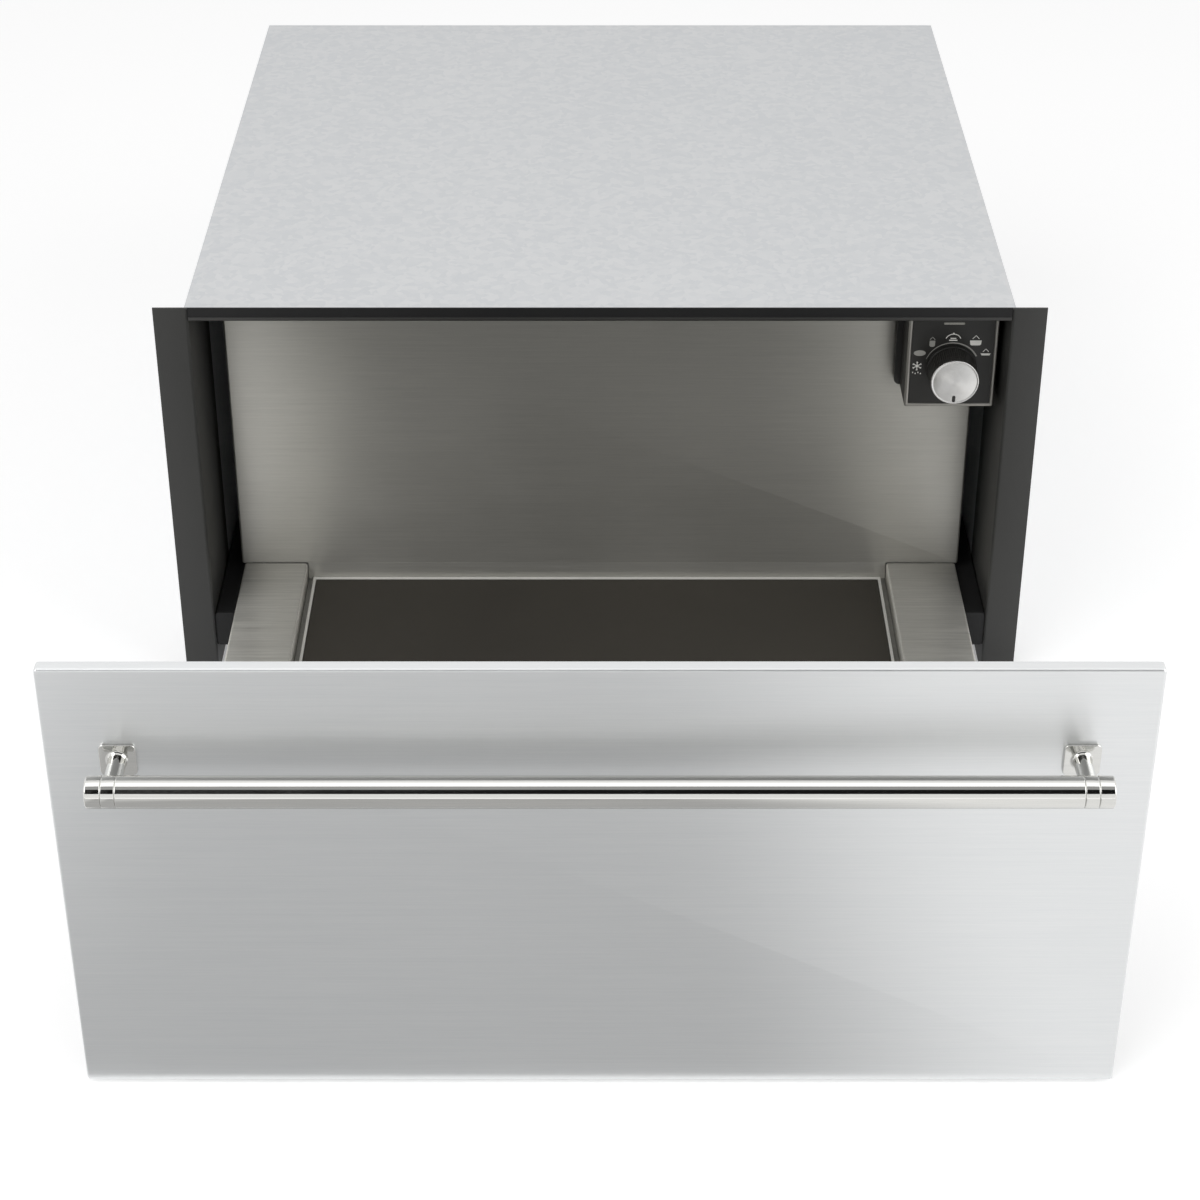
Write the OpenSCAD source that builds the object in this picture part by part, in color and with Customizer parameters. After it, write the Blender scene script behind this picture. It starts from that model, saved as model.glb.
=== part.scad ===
// Built-in warming drawer: a steel housing with a dark front frame, a pull-out
// drawer on three-part ball runners, a bar handle and a rotary heat switch.
// Millimetres. +Z is up and +Y points from the user into the cabinet. The origin
// is the middle of the housing's underside. The drawer is drawn pulled out.

/* [Front] */
// Width of the drawer front
front_w = 596; // [570:1:640]
// Height of the drawer front
front_h = 286; // [270:1:330]
// Depth of the skin's folded edge
front_d = 8; // [7:0.5:14]
// Sheet thickness of the skin
skin_t = 1; // [0.6:0.1:1.5]
// Radius of the skin's upright edges
skin_r = 2.5; // [2:0.5:4]
// Height of the front's lower edge above the cabinet floor
front_lift = 3; // [2:0.5:5]
// Thickness of the plate that closes the skin at the back
backing_t = 1; // [0.8:0.1:2]
// Diameter of a rubber buffer
buffer_d = 12; // [8:1:16]
// Distance from a buffer's middle to the front's upper or lower edge
buffer_set = 24; // [16:1:60]

// Distance between the screws that hold the base pan to the front
joint_pitch = 110; // [80:1:140]
// Height of those screws above the base pan's underside
joint_up = 20; // [10:1:24]

/* [Handle] */
// Diameter of the handle bar
bar_d = 17.6; // [14:0.1:22]
// Length of the handle over its end caps
bar_l = 541; // [440:1:560]
// Distance from the front to the bar's axis
bar_reach = 30.5; // [24:0.5:45]
// Distance from the front's upper edge to the bar's axis
bar_drop = 57; // [40:0.5:120]
// Wall of the tube between the brackets
bar_wall = 1.5; // [1:0.1:3]
// Length of an end cap
cap_l = 8.5; // [5:0.5:14]
// Width of a bracket's ring
ring_l = 7.6; // [6:0.2:9]
// Chamfer beside each groove
groove = 0.5; // [0.3:0.1:0.9]
// Length of a bracket's spigot inside the tube
spigot_l = 12; // [6:1:20]
// Diameter of a bracket's post
post_d = 10; // [8:0.5:12]
// Side of the square plate under a post
plate_w = 20; // [16:1:26]
// Thickness of that plate
plate_t = 2; // [1:0.5:4]
// Corner radius of that plate
plate_r = 3; // [1:0.5:5]

/* [Housing] */
// Distance from the rear cover's edges to its outer screws
screw_set = 30; // [20:1:60]
// Thickness of the galvanised sheet
sheet_t = 1; // [0.8:0.1:1.5]
// Width of the side panels' folded lips
lip_w = 12; // [9:1:16]
// Set-back of the base plate from the frame's face
base_set = 40; // [30:1:80]
// Space behind the closed drawer
rear_space = 43; // [40:1:80]

/* [Frame] */
// Step from the drawer front's side edge to the frame's
frame_step = 1; // [0:0.5:3]
// Width of the frame's side flanges
flange_w = 23.2; // [18:0.1:30]
// Sheet thickness of the frame
frame_t = 1.2; // [0.8:0.1:1.6]
// Height of the frame's top rail
top_rail = 10; // [8:0.5:14]
// Depth of the frame's side returns
return_d = 85; // [60:1:120]
// Depth of the top rail's return
top_return = 18; // [8:1:20]
// Distance from the frame's face to the cabinet screws
fix_set = 24; // [12:1:40]
// Height of the lower cabinet screw
fix_low = 72; // [62:1:100]
// Distance between the two cabinet screws of a side
fix_pitch = 130; // [60:1:150]
// Diameter of a cabinet screw hole
fix_d = 4.5; // [3.5:0.1:6]

/* [Drawer] */
// Pull-out from closed to open
travel = 424; // [380:1:450]
// Gap between the closed front and the frame
closed_gap = 2; // [1.5:0.1:4]
// Gap between a rim and the frame's side return
rim_gap = 15.3; // [12:0.1:18]
// Width of the left rim
rim_w_left = 45.5; // [38:0.5:60]
// Width of the right rim
rim_w_right = 50; // [38:0.5:60]
// Height of a rim's outer lip
rim_lip = 5; // [3:0.5:8]
// Depth of the heated floor below the rims
well_d = 12; // [10:0.5:14]
// Sheet thickness of the stainless parts inside
steel_t = 1; // [0.8:0.1:1.5]
// Height of the base pan above the cabinet floor
pan_lift = 6; // [4:0.5:10]
// Overhang of the back wall past the rims
back_over = 2; // [1:0.5:4]
// Depth of the back wall's folded edge
back_fold = 12; // [8:0.5:16]
// Gap between the back wall and the level of the top rail
back_gap = 4; // [2:0.5:10]
// Width of the trim beside the mat
trim_w = 2; // [1:0.5:4]
// Width of the trim along the back
trim_back = 3; // [2:0.5:6]
// Height of the trim above the mat
trim_up = 0.3; // [0.2:0.1:1]
// Distance from a rim's inner edge to the trim
trim_set = 3.8; // [1:0.1:6]
// Thickness of the mat
mat_t = 1.5; // [1:0.1:3]

/* [Heating] */
// Thickness of the heated floor plate
floor_t = 1.5; // [1:0.1:2.5]
// Width of the shelf that carries the floor plate
shelf_w = 10; // [6:1:14]
// Diameter of the tubular heater
heater_d = 6.5; // [5:0.1:8]
// Distance between the heater's legs
heater_pitch = 56; // [40:1:70]
// Distance from the heater's bends to the rims
heater_side = 20; // [12:1:40]
// Distance from the insulation to the base pan's walls
wool_set = 6; // [5:0.5:12]
// Diameter of the limit thermostat
limiter_d = 18; // [12:1:24]
// Height of the limit thermostat
limiter_h = 10; // [8:0.5:14]

/* [Runners] */
// Height of a runner
rail_h = 45; // [42:1:50]
// Thickness of a runner
rail_w = 12.7; // [12.2:0.1:14]
// Wall of a runner's members
rail_t = 1.2; // [1:0.1:1.4]
// Gap between the outer members' edges and the base pan
rail_reveal = 0.8; // [0.6:0.1:1.2]
// Height of a runner above the cabinet floor
rail_lift = 4; // [3:0.5:8]
// Set-back of a closed runner from the frame's face
rail_set = 4; // [3:0.5:12]
// Length of a runner beyond the pull-out
rail_spare = 26; // [16:1:30]
// Room for the balls between two members
ball_room = 2.6; // [2.2:0.1:3]
// Room between the webs of two members
web_room = 1.8; // [1.7:0.1:2]
// Distance from a cage's ends to its members' ends
cage_margin = 18; // [10:1:30]
// Number of balls in a row
ball_count = 8; // [4:1:12]
// Height of the runner bracket
bracket_h = 27; // [20:1:36]
// Sheet thickness of the runner bracket
bracket_t = 1.2; // [1:0.1:2]
// Length of a weld pad on the bracket
pad_l = 30; // [20:1:50]

/* [Control box] */
// Width of the control box
box_w = 61; // [54:1:66]
// Height of the control box below the frame's upper edge
box_h = 86; // [80:1:110]
// Depth of the control box behind its fascia
box_d = 29; // [26:1:40]
// Wall of the control box
box_wall = 1.5; // [1:0.1:3]
// Set-back of the fascia from the frame's face
box_set = 24; // [22:0.5:30]
// Gap between the control box and the frame's side return
box_gap = 4; // [3:0.5:8]
// Thickness of the fascia
fascia_t = 2; // [1.5:0.1:3]
// Width of the bright bezel
bezel_w = 2.6; // [0.8:0.1:3]
// Height of the bezel above the fascia
bezel_up = 0.4; // [0.2:0.1:1]
// Thickness of the hanger plate behind the box
hanger_t = 2; // [1.5:0.1:3]
// Overhang of the hanger plate beside the box
hanger_over = 4.2; // [2:0.1:6]
// Length of the hanger plate's upper flange
hanger_l = 20; // [12:1:26]
// Corner radius of the hanger plate
hanger_r = 4; // [2:0.5:8]
// Gap between the hanger plate and the open drawer's back wall
hanger_gap = 4; // [3:0.5:8]
// Width of the indicator window
lamp_w = 14; // [8:0.5:20]
// Height of the indicator window
lamp_h = 1.7; // [1.2:0.1:4]
// Distance from the frame's upper edge to the indicator
lamp_drop = 23; // [16:0.5:30]
// Width of the lip behind the indicator window
lamp_lip = 2; // [1:0.5:3]
// Depth of the indicator window behind the fascia
lamp_d = 4; // [2:0.5:8]

/* [Knob] */
// Diameter of the knob
knob_d = 33; // [28:0.5:36]
// Distance from the knob's face back to the frame's face
knob_set = 1.2; // [0.8:0.1:4]
// Distance from the frame's upper edge to the knob's axis
knob_drop = 56; // [52:0.5:60]
// Width of the skirt beyond the knob's side
skirt_over = 0.5; // [0.3:0.1:1.5]
// Height of the skirt
skirt_h = 3; // [2:0.5:6]
// Number of ribs on the knob's side
rib_count = 72; // [36:4:96]
// Depth of a rib
rib_d = 0.35; // [0.2:0.05:0.6]
// Thickness of the knob's aluminium cap
cap_t = 1.2; // [1:0.1:2]
// Width of the index mark
index_w = 2.2; // [1.4:0.2:3]
// Length of the index mark
index_l = 5; // [3.5:0.5:8]
// Distance from the knob's edge to the index mark
index_set = 1.6; // [1:0.1:3]
// Gap between the knob and the fascia
knob_gap = 0.5; // [0.3:0.1:1]
// Thickness of the knob in front of its spindle
spindle_set = 4; // [2:0.5:8]
// Diameter of the switch spindle
spindle_d = 6; // [4:0.5:8]
// Side of the square switch body
switch_w = 32; // [24:1:36]
// Depth of the switch body
switch_d = 15; // [12:1:18]
// Diameter of the switch bushing
bushing_d = 10; // [9:0.5:12]

/* [Mains inlet] */
// Distance from the housing's side to the cable gland
gland_in = 75; // [55:1:125]
// Height of the cable gland's axis
gland_z = 20; // [18:1:30]
// Diameter of the cable that fits the gland
cable_d = 7.2; // [6:0.1:9]
// Outer diameter of the gland's thread
thread_d = 16; // [14:0.5:18]
// Width of the gland's nuts across flats
nut_w = 20; // [19:0.5:24]
// Length of the gland outside the housing
gland_l = 16; // [12:1:24]
// Width of the junction cover
cover_w = 84; // [70:1:100]
// Height of the junction cover
cover_h = 38; // [34:1:50]
// Depth of the junction cover
cover_d = 36; // [32:1:39]
// Wall of the junction cover
cover_wall = 2; // [1.5:0.1:3]
// Depth of the terminal block
block_d = 20; // [14:1:24]
// Height of the terminal block
block_h = 17; // [12:1:28]
// Width of one pole of the terminal block
pole_w = 12; // [8:0.5:14]
// Length of the gland's thread inside the housing
thread_l = 8; // [6:1:12]
// Height of the gland's nuts
nut_h = 4; // [3:0.5:6]
// Length of the gland's dome
dome_l = 8; // [5:0.5:10]
// Width of a vent slot
vent_w = 40; // [24:1:50]
// Height of a vent slot
vent_h = 5; // [3:0.5:8]
// Distance between vent slots, one above the other
vent_pitch = 14; // [10:1:18]
// Land between vent slots, side by side
vent_land = 12; // [8:1:20]
// Distance from the mouth's upper edge to the highest vent slot
vent_set = 60; // [30:1:80]

/* [Clearances] */
// Gap between a sliding part and what it passes over
slide_gap = 1; // [0.6:0.1:2]
// Gap between parts that only lie side by side
seat = 0.3; // [0.2:0.05:0.4]
// Radial gap round a turning spindle
running = 0.05; // [0.03:0.01:0.08]
// Radial gap round a screw or bushing
screw_gap = 0.1; // [0.05:0.05:0.3]

/* [Hidden] */
$fn = 48;
eps = 0.01;

// Levels
housing_h = front_lift + front_h;
mouth_top = housing_h - top_rail;
rail_top = rail_lift + rail_h;
rail_z = rail_lift + rail_h / 2;
rim_top = rail_top + slide_gap + rim_lip;
rim_under = rim_top - steel_t;
mat_top = rim_top - well_d;
floor_top = mat_top - mat_t;
floor_under = floor_top - floor_t;
shelf_under = floor_under - steel_t;
back_top = mouth_top - back_gap;
bar_z = housing_h - bar_drop;
knob_z = housing_h - knob_drop;
bracket_z = rail_top - bracket_h;
box_z = housing_h - box_h;
box_top = housing_h - 3 * sheet_t;

// Places across the width, as distances from the middle
frame_x = front_w / 2 - frame_step;
mouth_x = frame_x - flange_w;
side_x = mouth_x + frame_t;
rim_x = mouth_x - rim_gap;
pan_x = rim_x - rail_w;
back_x = rim_x + back_over;
box_x1 = mouth_x - box_gap;
box_x0 = box_x1 - box_w;
knob_x = (box_x0 + box_x1) / 2;
post_x = bar_l / 2 - cap_l - ring_l / 2;
buffer_x = (mouth_x + frame_x) / 2;
gland_x = side_x - gland_in;

// The floor between the rims, whose widths differ. side is -1 or 1.
function rim_in(side) = rim_x - (side < 0 ? rim_w_left : rim_w_right);
function floor_x(side) = rim_in(side) - seat;
function trim_x(side) = rim_in(side) - trim_set;
function mat_x(side) = trim_x(side) - trim_w - seat;

// Places along the depth. The housing is as deep as what it has to hold.
box_stack = box_set + fascia_t + box_d + hanger_t;
housing_d = box_stack + hanger_gap + travel + back_fold + rear_space;
frame_y = -housing_d / 2;
rear_y = housing_d / 2;
fascia_y = frame_y + box_set;
shell_y = fascia_y + fascia_t;
hanger_y = shell_y + box_d;
back_y = frame_y + box_stack + hanger_gap;
inner_y = frame_y - closed_gap - travel;
front_y = inner_y - front_d;
pan_rear = back_y + back_fold;
well_l = back_y - inner_y;
bar_y = front_y - bar_reach;
rail_l = travel + rail_spare;
rail_y = frame_y + rail_set;
cage_l = rail_l - travel / 2 - 2 * cage_margin;

// Runner members, seen from the front: heights, and the faces of their webs
mid_h = rail_h - 2 * (rail_t + ball_room);
slim_h = mid_h - 2 * (rail_t + ball_room);
member_x = pan_x + rail_reveal;
mid_web = rim_x - rail_t - web_room;
slim_reach = mid_web - rail_t - web_room;
cage_t = 0.6;
lips_outer = rail_w / 2;
lips_inner = (slim_reach - pan_x) * 0.75;
ball_r = ball_room / 2 - seat;

// Screws: shank diameter, head diameter and head height
m4 = [4, 8, 2.4];
m5 = [5, 9, 2.4];
screw_l = 8;

// ---- Shared shapes ----

// A block between two corners
module block(a, b) {
  translate(a) cube([b[0] - a[0], b[1] - a[1], b[2] - a[2]]);
}

// The right-hand shape, or its mirror image for the left
module on_side(side) {
  mirror([side < 0 ? 1 : 0, 0, 0]) children();
}

// A rod along X, from x0 to x1
module rod_x(r, x0, x1, y, z) {
  translate([x0, y, z]) rotate([0, 90, 0]) cylinder(r = r, h = x1 - x0);
}

// A rod along Y, from y0 to y1
module rod_y(r, y0, y1, x, z) {
  translate([x, y1, z]) rotate([90, 0, 0]) cylinder(r = r, h = y1 - y0);
}

// A flat outline in X and Z, made into a plate between y0 and y1
module plate_y(y0, y1) {
  translate([0, y1, 0]) rotate([90, 0, 0]) linear_extrude(height = y1 - y0) children();
}

// A rectangle with round corners
module round_rect(w, h, r) {
  for (i = [-1, 1])
    for (j = [-1, 1])
      translate([i * (w / 2 - r), j * (h / 2 - r)]) circle(r = r);
  square([w - 2 * r, h], center = true);
  square([w, h - 2 * r], center = true);
}

// A slot with round ends
module slot(w, h) {
  for (i = [-1, 1]) translate([i * (w - h) / 2, 0]) circle(d = h);
  square([w - h, h], center = true);
}

// A rod along X with a chamfer on each end
module ringed_rod(d, x0, x1, c) {
  translate([x0, bar_y, bar_z]) rotate([0, 90, 0]) rotate_extrude()
    polygon([[0, 0], [d / 2 - c, 0], [d / 2, c], [d / 2, x1 - x0 - c],
             [d / 2 - c, x1 - x0], [0, x1 - x0]]);
}

// A pan-head screw along Y with its head towards +Y
module screw_y(size, tip_y, head_y, x, z) {
  rod_y(size[0] / 2, tip_y, head_y + eps, x, z);
  rod_y(size[1] / 2, head_y, head_y + size[2], x, z);
}

// The clearance hole of such a screw
module screw_hole(size, y0, y1, x, z) {
  rod_y(size[0] / 2 + screw_gap, y0, y1, x, z);
}

// ---- Housing ----

// Middles of a side's cabinet screws, as heights
fix_heights = [fix_low, fix_low + fix_pitch];

module fix_holes() {
  for (z = fix_heights)
    rod_x(fix_d / 2, mouth_x - 1, side_x + sheet_t + 1, frame_y + fix_set, z);
}

module frame_post(side) color([0.2, 0.2, 0.21]) on_side(side) {
  block([mouth_x, frame_y, 0], [frame_x, frame_y + frame_t, housing_h]);
  difference() {
    block([mouth_x, frame_y + frame_t - eps, 0],
          [side_x, frame_y + return_d, housing_h - sheet_t]);
    fix_holes();
  }
}

module frame_rail() color([0.2, 0.2, 0.21]) {
  block([-mouth_x, frame_y, mouth_top], [mouth_x, frame_y + frame_t, housing_h]);
  block([-mouth_x, frame_y + frame_t - eps, mouth_top],
        [mouth_x, frame_y + top_return, mouth_top + frame_t]);
}

// Middles of the rear cover's screws, as [x, z]
rear_fix = [for (i = [-1, 1]) for (z = [screw_set, housing_h / 2, housing_h - screw_set])
            [i * (side_x - lip_w / 2), z]];

module side_panel(side) color([0.72, 0.74, 0.76]) on_side(side) {
  difference() {
    block([side_x, frame_y + frame_t, 0], [side_x + sheet_t, rear_y, housing_h - sheet_t]);
    fix_holes();
  }
  block([side_x - lip_w, frame_y + return_d, housing_h - 2 * sheet_t],
        [side_x + eps, rear_y - sheet_t, housing_h - sheet_t]);
  difference() {
    block([side_x - lip_w, rear_y - 2 * sheet_t, sheet_t],
          [side_x + eps, rear_y - sheet_t, housing_h - sheet_t]);
    for (p = rear_fix) screw_hole(m4, rear_y - screw_l, rear_y, p[0], p[1]);
  }
}

module top_cover() color([0.78, 0.8, 0.82])
  block([-side_x - sheet_t, frame_y + frame_t, housing_h - sheet_t],
        [side_x + sheet_t, rear_y, housing_h]);

base_lip = min(pan_lift, rail_lift) - slide_gap;

module base_plate() color([0.72, 0.74, 0.76]) {
  block([-side_x, frame_y + return_d, 0], [side_x, rear_y - sheet_t, sheet_t]);
  block([-mouth_x, frame_y + base_set, 0], [mouth_x, frame_y + return_d + eps, sheet_t]);
  block([-mouth_x, frame_y + base_set, 0],
        [mouth_x, frame_y + base_set + sheet_t, base_lip]);
}

vent_rows = 6;
vent_columns = 5;
vent_step = vent_w + vent_land;
vent_z = mouth_top - vent_set - (vent_rows - 1) * vent_pitch;

module rear_cover() color([0.72, 0.74, 0.76]) difference() {
  block([-side_x, rear_y - sheet_t, 0], [side_x, rear_y, housing_h - sheet_t]);
  for (p = rear_fix) screw_hole(m4, rear_y - screw_l, rear_y + 1, p[0], p[1]);
  rod_y(thread_d / 2 + screw_gap, rear_y - screw_l, rear_y + 1, -gland_x, gland_z);
  plate_y(rear_y - 2 * sheet_t, rear_y + 1)
    for (i = [0 : vent_columns - 1])
      for (j = [0 : vent_rows - 1])
        translate([(i - (vent_columns - 1) / 2) * vent_step,
                   vent_z + j * vent_pitch])
          slot(vent_w, vent_h);
}

module rear_screws() color([0.8, 0.8, 0.82])
  for (p = rear_fix) screw_y(m4, rear_y - screw_l, rear_y, p[0], p[1]);

module runner_bracket(side) color([0.24, 0.24, 0.25]) on_side(side) {
  block([rim_x, rail_y - 2, bracket_z], [rim_x + bracket_t, rail_y + rail_l, rail_top]);
  block([mouth_x - bracket_t, rail_y - 2, bracket_z], [mouth_x, rail_y + rail_l, rail_top]);
  block([rim_x, rail_y - 2, rail_top - bracket_t], [mouth_x, rail_y + rail_l, rail_top]);
  for (y = [frame_y + return_d + pad_l, rail_y + rail_l - 2 * pad_l])
    block([mouth_x - eps, y, bracket_z], [side_x, y + pad_l, rail_top]);
}

// ---- Runners ----

// A channel along Y. Its web lies at the outer face when reach is to the inside.
module channel(web, reach, h, y0) {
  inside = reach < web;
  x0 = inside ? web - rail_t : web;
  low = min(reach, web);
  high = max(reach, web);
  block([x0, y0, rail_z - h / 2], [x0 + rail_t, y0 + rail_l, rail_z + h / 2]);
  for (z = [rail_z - h / 2, rail_z + h / 2 - rail_t])
    block([low, y0, z], [high, y0 + rail_l, z + rail_t]);
}

module rail_outer(side) color([0.7, 0.71, 0.73])
  on_side(side) channel(rim_x, member_x, rail_h, rail_y);

module rail_middle(side) color([0.66, 0.67, 0.69])
  on_side(side) channel(mid_web, member_x, mid_h, rail_y - travel / 2);

module rail_inner(side) color([0.7, 0.71, 0.73])
  on_side(side) channel(pan_x, slim_reach, slim_h, rail_y - travel);

// Balls and their cage in the room around a member of height h. web is the
// member's outer face, to which the cage's own web runs parallel.
module ball_cage(h, web, lips, y0) {
  ball_z = h / 2 + ball_room / 2;
  ball_x = web + lips / 2;
  web_x = web + (lips < 0 ? web_room / 2 : -web_room / 2);
  block([web_x - cage_t / 2, y0, rail_z - ball_z],
        [web_x + cage_t / 2, y0 + cage_l, rail_z + ball_z]);
  for (i = [-1, 1]) {
    block([min(web_x, web + lips), y0, rail_z + i * ball_z - cage_t / 2],
          [max(web_x, web + lips), y0 + cage_l, rail_z + i * ball_z + cage_t / 2]);
    for (n = [0 : ball_count - 1])
      translate([ball_x, y0 + cage_l * (n + 0.5) / ball_count, rail_z + i * ball_z])
        sphere(r = ball_r);
  }
}

module cage_outer(side) color([0.75, 0.62, 0.3])
  on_side(side) ball_cage(mid_h, mid_web, -lips_outer, rail_y + cage_margin);

module cage_inner(side) color([0.75, 0.62, 0.3])
  on_side(side) ball_cage(slim_h, slim_reach, -lips_inner, rail_y - travel / 2 + cage_margin);

// ---- Drawer front ----

module skin_outline(inset) {
  y0 = front_y + inset;
  r = max(skin_r - inset, 0.4);
  half = front_w / 2 - inset;
  for (i = [-1, 1]) translate([i * (half - r), y0 + r]) circle(r = r);
  translate([r - half, y0]) square([2 * (half - r), inner_y - y0]);
  translate([-half, y0 + r]) square([2 * half, inner_y - y0 - r]);
}

module front_skin() color([0.78, 0.78, 0.77]) difference() {
  translate([0, 0, front_lift]) linear_extrude(height = front_h) skin_outline(0);
  translate([0, 0, front_lift + skin_t]) linear_extrude(height = front_h - 2 * skin_t) {
    skin_outline(skin_t);
    translate([skin_t - front_w / 2, inner_y - 1]) square([front_w - 2 * skin_t, 2]);
  }
  for (i = [-1, 1]) screw_hole(m5, front_y - 1, front_y + skin_t + 1, i * post_x, bar_z);
}

// Half width and lower and upper edge of what lies inside the skin
core_x = front_w / 2 - skin_t - seat;
core_z0 = front_lift + skin_t + seat;
core_z1 = front_lift + front_h - skin_t - seat;

module front_filler() color([0.85, 0.83, 0.75]) difference() {
  block([skin_r - core_x, front_y + skin_t, core_z0],
        [core_x - skin_r, inner_y - backing_t, core_z1]);
  for (i = [-1, 1]) screw_hole(m5, front_y, inner_y, i * post_x, bar_z);
}

// Middles of the screws between the base pan and the front
joint_x = [for (i = [-1.5 : 1.5]) i * joint_pitch];
joint_z = pan_lift + joint_up;

module front_backing() color([0.74, 0.75, 0.76]) difference() {
  block([-core_x, inner_y - backing_t, core_z0], [core_x, inner_y, core_z1]);
  for (i = [-1, 1]) screw_hole(m5, inner_y - 3, inner_y + 1, i * post_x, bar_z);
  for (x = joint_x) screw_hole(m4, inner_y - 3, inner_y + 1, x, joint_z);
}

module front_screws() color([0.8, 0.8, 0.82])
  for (x = joint_x)
    screw_y(m4, inner_y - backing_t, inner_y + steel_t, x, joint_z);

module front_buffers() color([0.12, 0.12, 0.12])
  for (i = [-1, 1])
    for (z = [front_lift + buffer_set, housing_h - buffer_set])
      rod_y(buffer_d / 2, inner_y, inner_y + closed_gap - seat, i * buffer_x, z);

// ---- Handle ----

tube_end = post_x - ring_l / 2;

module handle_bar() color([0.85, 0.85, 0.86]) difference() {
  ringed_rod(bar_d, -tube_end, tube_end, groove);
  rod_x(bar_d / 2 - bar_wall, -tube_end - 1, tube_end + 1, bar_y, bar_z);
}

module handle_bracket(side) color([0.83, 0.83, 0.84]) on_side(side) difference() {
  union() {
    ringed_rod(bar_d, tube_end, tube_end + ring_l, groove);
    rod_x(bar_d / 2 - bar_wall - screw_gap, tube_end - spigot_l, tube_end + eps, bar_y, bar_z);
    difference() {
      rod_y(post_d / 2, bar_y, front_y - plate_t, post_x, bar_z);
      rod_x(bar_d / 2 + screw_gap, tube_end - post_d, tube_end, bar_y, bar_z);
      rod_x(bar_d / 2 + screw_gap, tube_end + ring_l, tube_end + ring_l + post_d, bar_y, bar_z);
    }
  }
  screw_hole(m5, bar_y + 2, front_y, post_x, bar_z);
}

module handle_cap(side) color([0.83, 0.83, 0.84]) on_side(side)
  ringed_rod(bar_d, tube_end + ring_l, tube_end + ring_l + cap_l, groove);

module handle_plates() color([0.83, 0.83, 0.84])
  for (i = [-1, 1])
    difference() {
      plate_y(front_y - plate_t, front_y)
        translate([i * post_x, bar_z]) round_rect(plate_w, plate_w, plate_r);
      screw_hole(m5, front_y - plate_t - 1, front_y + 1, i * post_x, bar_z);
    }

module handle_screws() color([0.8, 0.8, 0.82])
  for (i = [-1, 1]) screw_y(m5, bar_y + 4, inner_y, i * post_x, bar_z);

// ---- Drawer ----

module base_pan() color([0.74, 0.75, 0.76]) {
  difference() {
    block([-pan_x, inner_y, pan_lift], [pan_x, pan_rear, rim_under]);
    block([steel_t - pan_x, inner_y + steel_t, pan_lift + steel_t],
          [pan_x - steel_t, pan_rear - steel_t, rim_under + 1]);
    block([steel_t - pan_x, inner_y - 1, shelf_under - seat],
          [pan_x - steel_t, inner_y + steel_t + 1, rim_under + 1]);
    for (x = joint_x) screw_hole(m4, inner_y - 1, inner_y + steel_t + 1, x, joint_z);
  }
}

module rim(side) color([0.62, 0.61, 0.6]) on_side(side)
  plate_y(inner_y, back_y - seat) {
    translate([rim_in(side), rim_under]) square([rim_x - rim_in(side), steel_t]);
    translate([rim_x - steel_t, rim_top - rim_lip]) square([steel_t, rim_lip]);
    translate([rim_in(side), shelf_under]) square([steel_t, rim_top - shelf_under]);
    translate([rim_in(side) - shelf_w, shelf_under]) square([shelf_w + steel_t, steel_t]);
  }

module back_wall() color([0.55, 0.54, 0.52]) {
  block([-back_x, back_y, rim_under], [back_x, back_y + steel_t, back_top]);
  block([-floor_x(-1), back_y, floor_top], [floor_x(1), back_y + steel_t, rim_under + eps]);
  for (z = [rim_under, back_top - steel_t])
    block([-back_x, back_y, z], [back_x, pan_rear, z + steel_t]);
  for (i = [-1, 1])
    on_side(i) block([back_x - steel_t, back_y, rim_under], [back_x, pan_rear, back_top]);
}

module floor_plate() color([0.5, 0.5, 0.5])
  block([-floor_x(-1), inner_y, floor_under], [floor_x(1), back_y + steel_t, floor_top]);

trim_rear = back_y - seat;

module floor_trim() color([0.8, 0.79, 0.77]) {
  for (i = [-1, 1])
    on_side(i) block([trim_x(i) - trim_w, inner_y, floor_top],
                     [trim_x(i), trim_rear, mat_top + trim_up]);
  block([-trim_x(-1), trim_rear - trim_back, floor_top],
        [trim_x(1), trim_rear, mat_top + trim_up]);
}

module floor_mat() color([0.17, 0.16, 0.15])
  block([-mat_x(-1), inner_y + seat, floor_top],
        [mat_x(1), trim_rear - trim_back - seat, mat_top]);

heater_r = heater_d / 2;
heater_z = floor_under - heater_r;
heater_x = min(rim_in(-1), rim_in(1)) - shelf_w - heater_side - heater_pitch / 2;
heater_legs = 2 * floor(((well_l - 2 * heater_side) / heater_pitch + 1) / 2);
heater_y = inner_y + (well_l - (heater_legs - 1) * heater_pitch) / 2;

module heating_element() color([0.35, 0.33, 0.32]) {
  for (n = [0 : heater_legs - 1])
    rod_x(heater_r, -heater_x, heater_x, heater_y + n * heater_pitch, heater_z);
  for (n = [0 : heater_legs - 2])
    translate([(n % 2 == 0 ? 1 : -1) * heater_x, heater_y + (n + 0.5) * heater_pitch, heater_z])
      rotate([0, 0, n % 2 == 0 ? -90 : 90])
        rotate_extrude(angle = 180) translate([heater_pitch / 2, 0]) circle(r = heater_r);
}

// The limiter hangs under the floor, midway between two legs of the heater
limiter_x = heater_x / 2;
limiter_y = heater_y + (heater_legs / 2 - 0.5) * heater_pitch;
wool_top = heater_z - heater_r - seat;

module insulation_pad() color([0.86, 0.8, 0.55]) difference() {
  block([wool_set - pan_x, inner_y + wool_set, pan_lift + steel_t],
        [pan_x - wool_set, pan_rear - wool_set, wool_top]);
  translate([limiter_x, limiter_y, floor_under - limiter_h - seat])
    cylinder(r = limiter_d / 2 + 1, h = limiter_h + 5);
}

module limit_thermostat() color([0.75, 0.72, 0.66])
  translate([limiter_x, limiter_y, floor_under - limiter_h])
    cylinder(r = limiter_d / 2, h = limiter_h);

// ---- Control box ----

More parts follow.
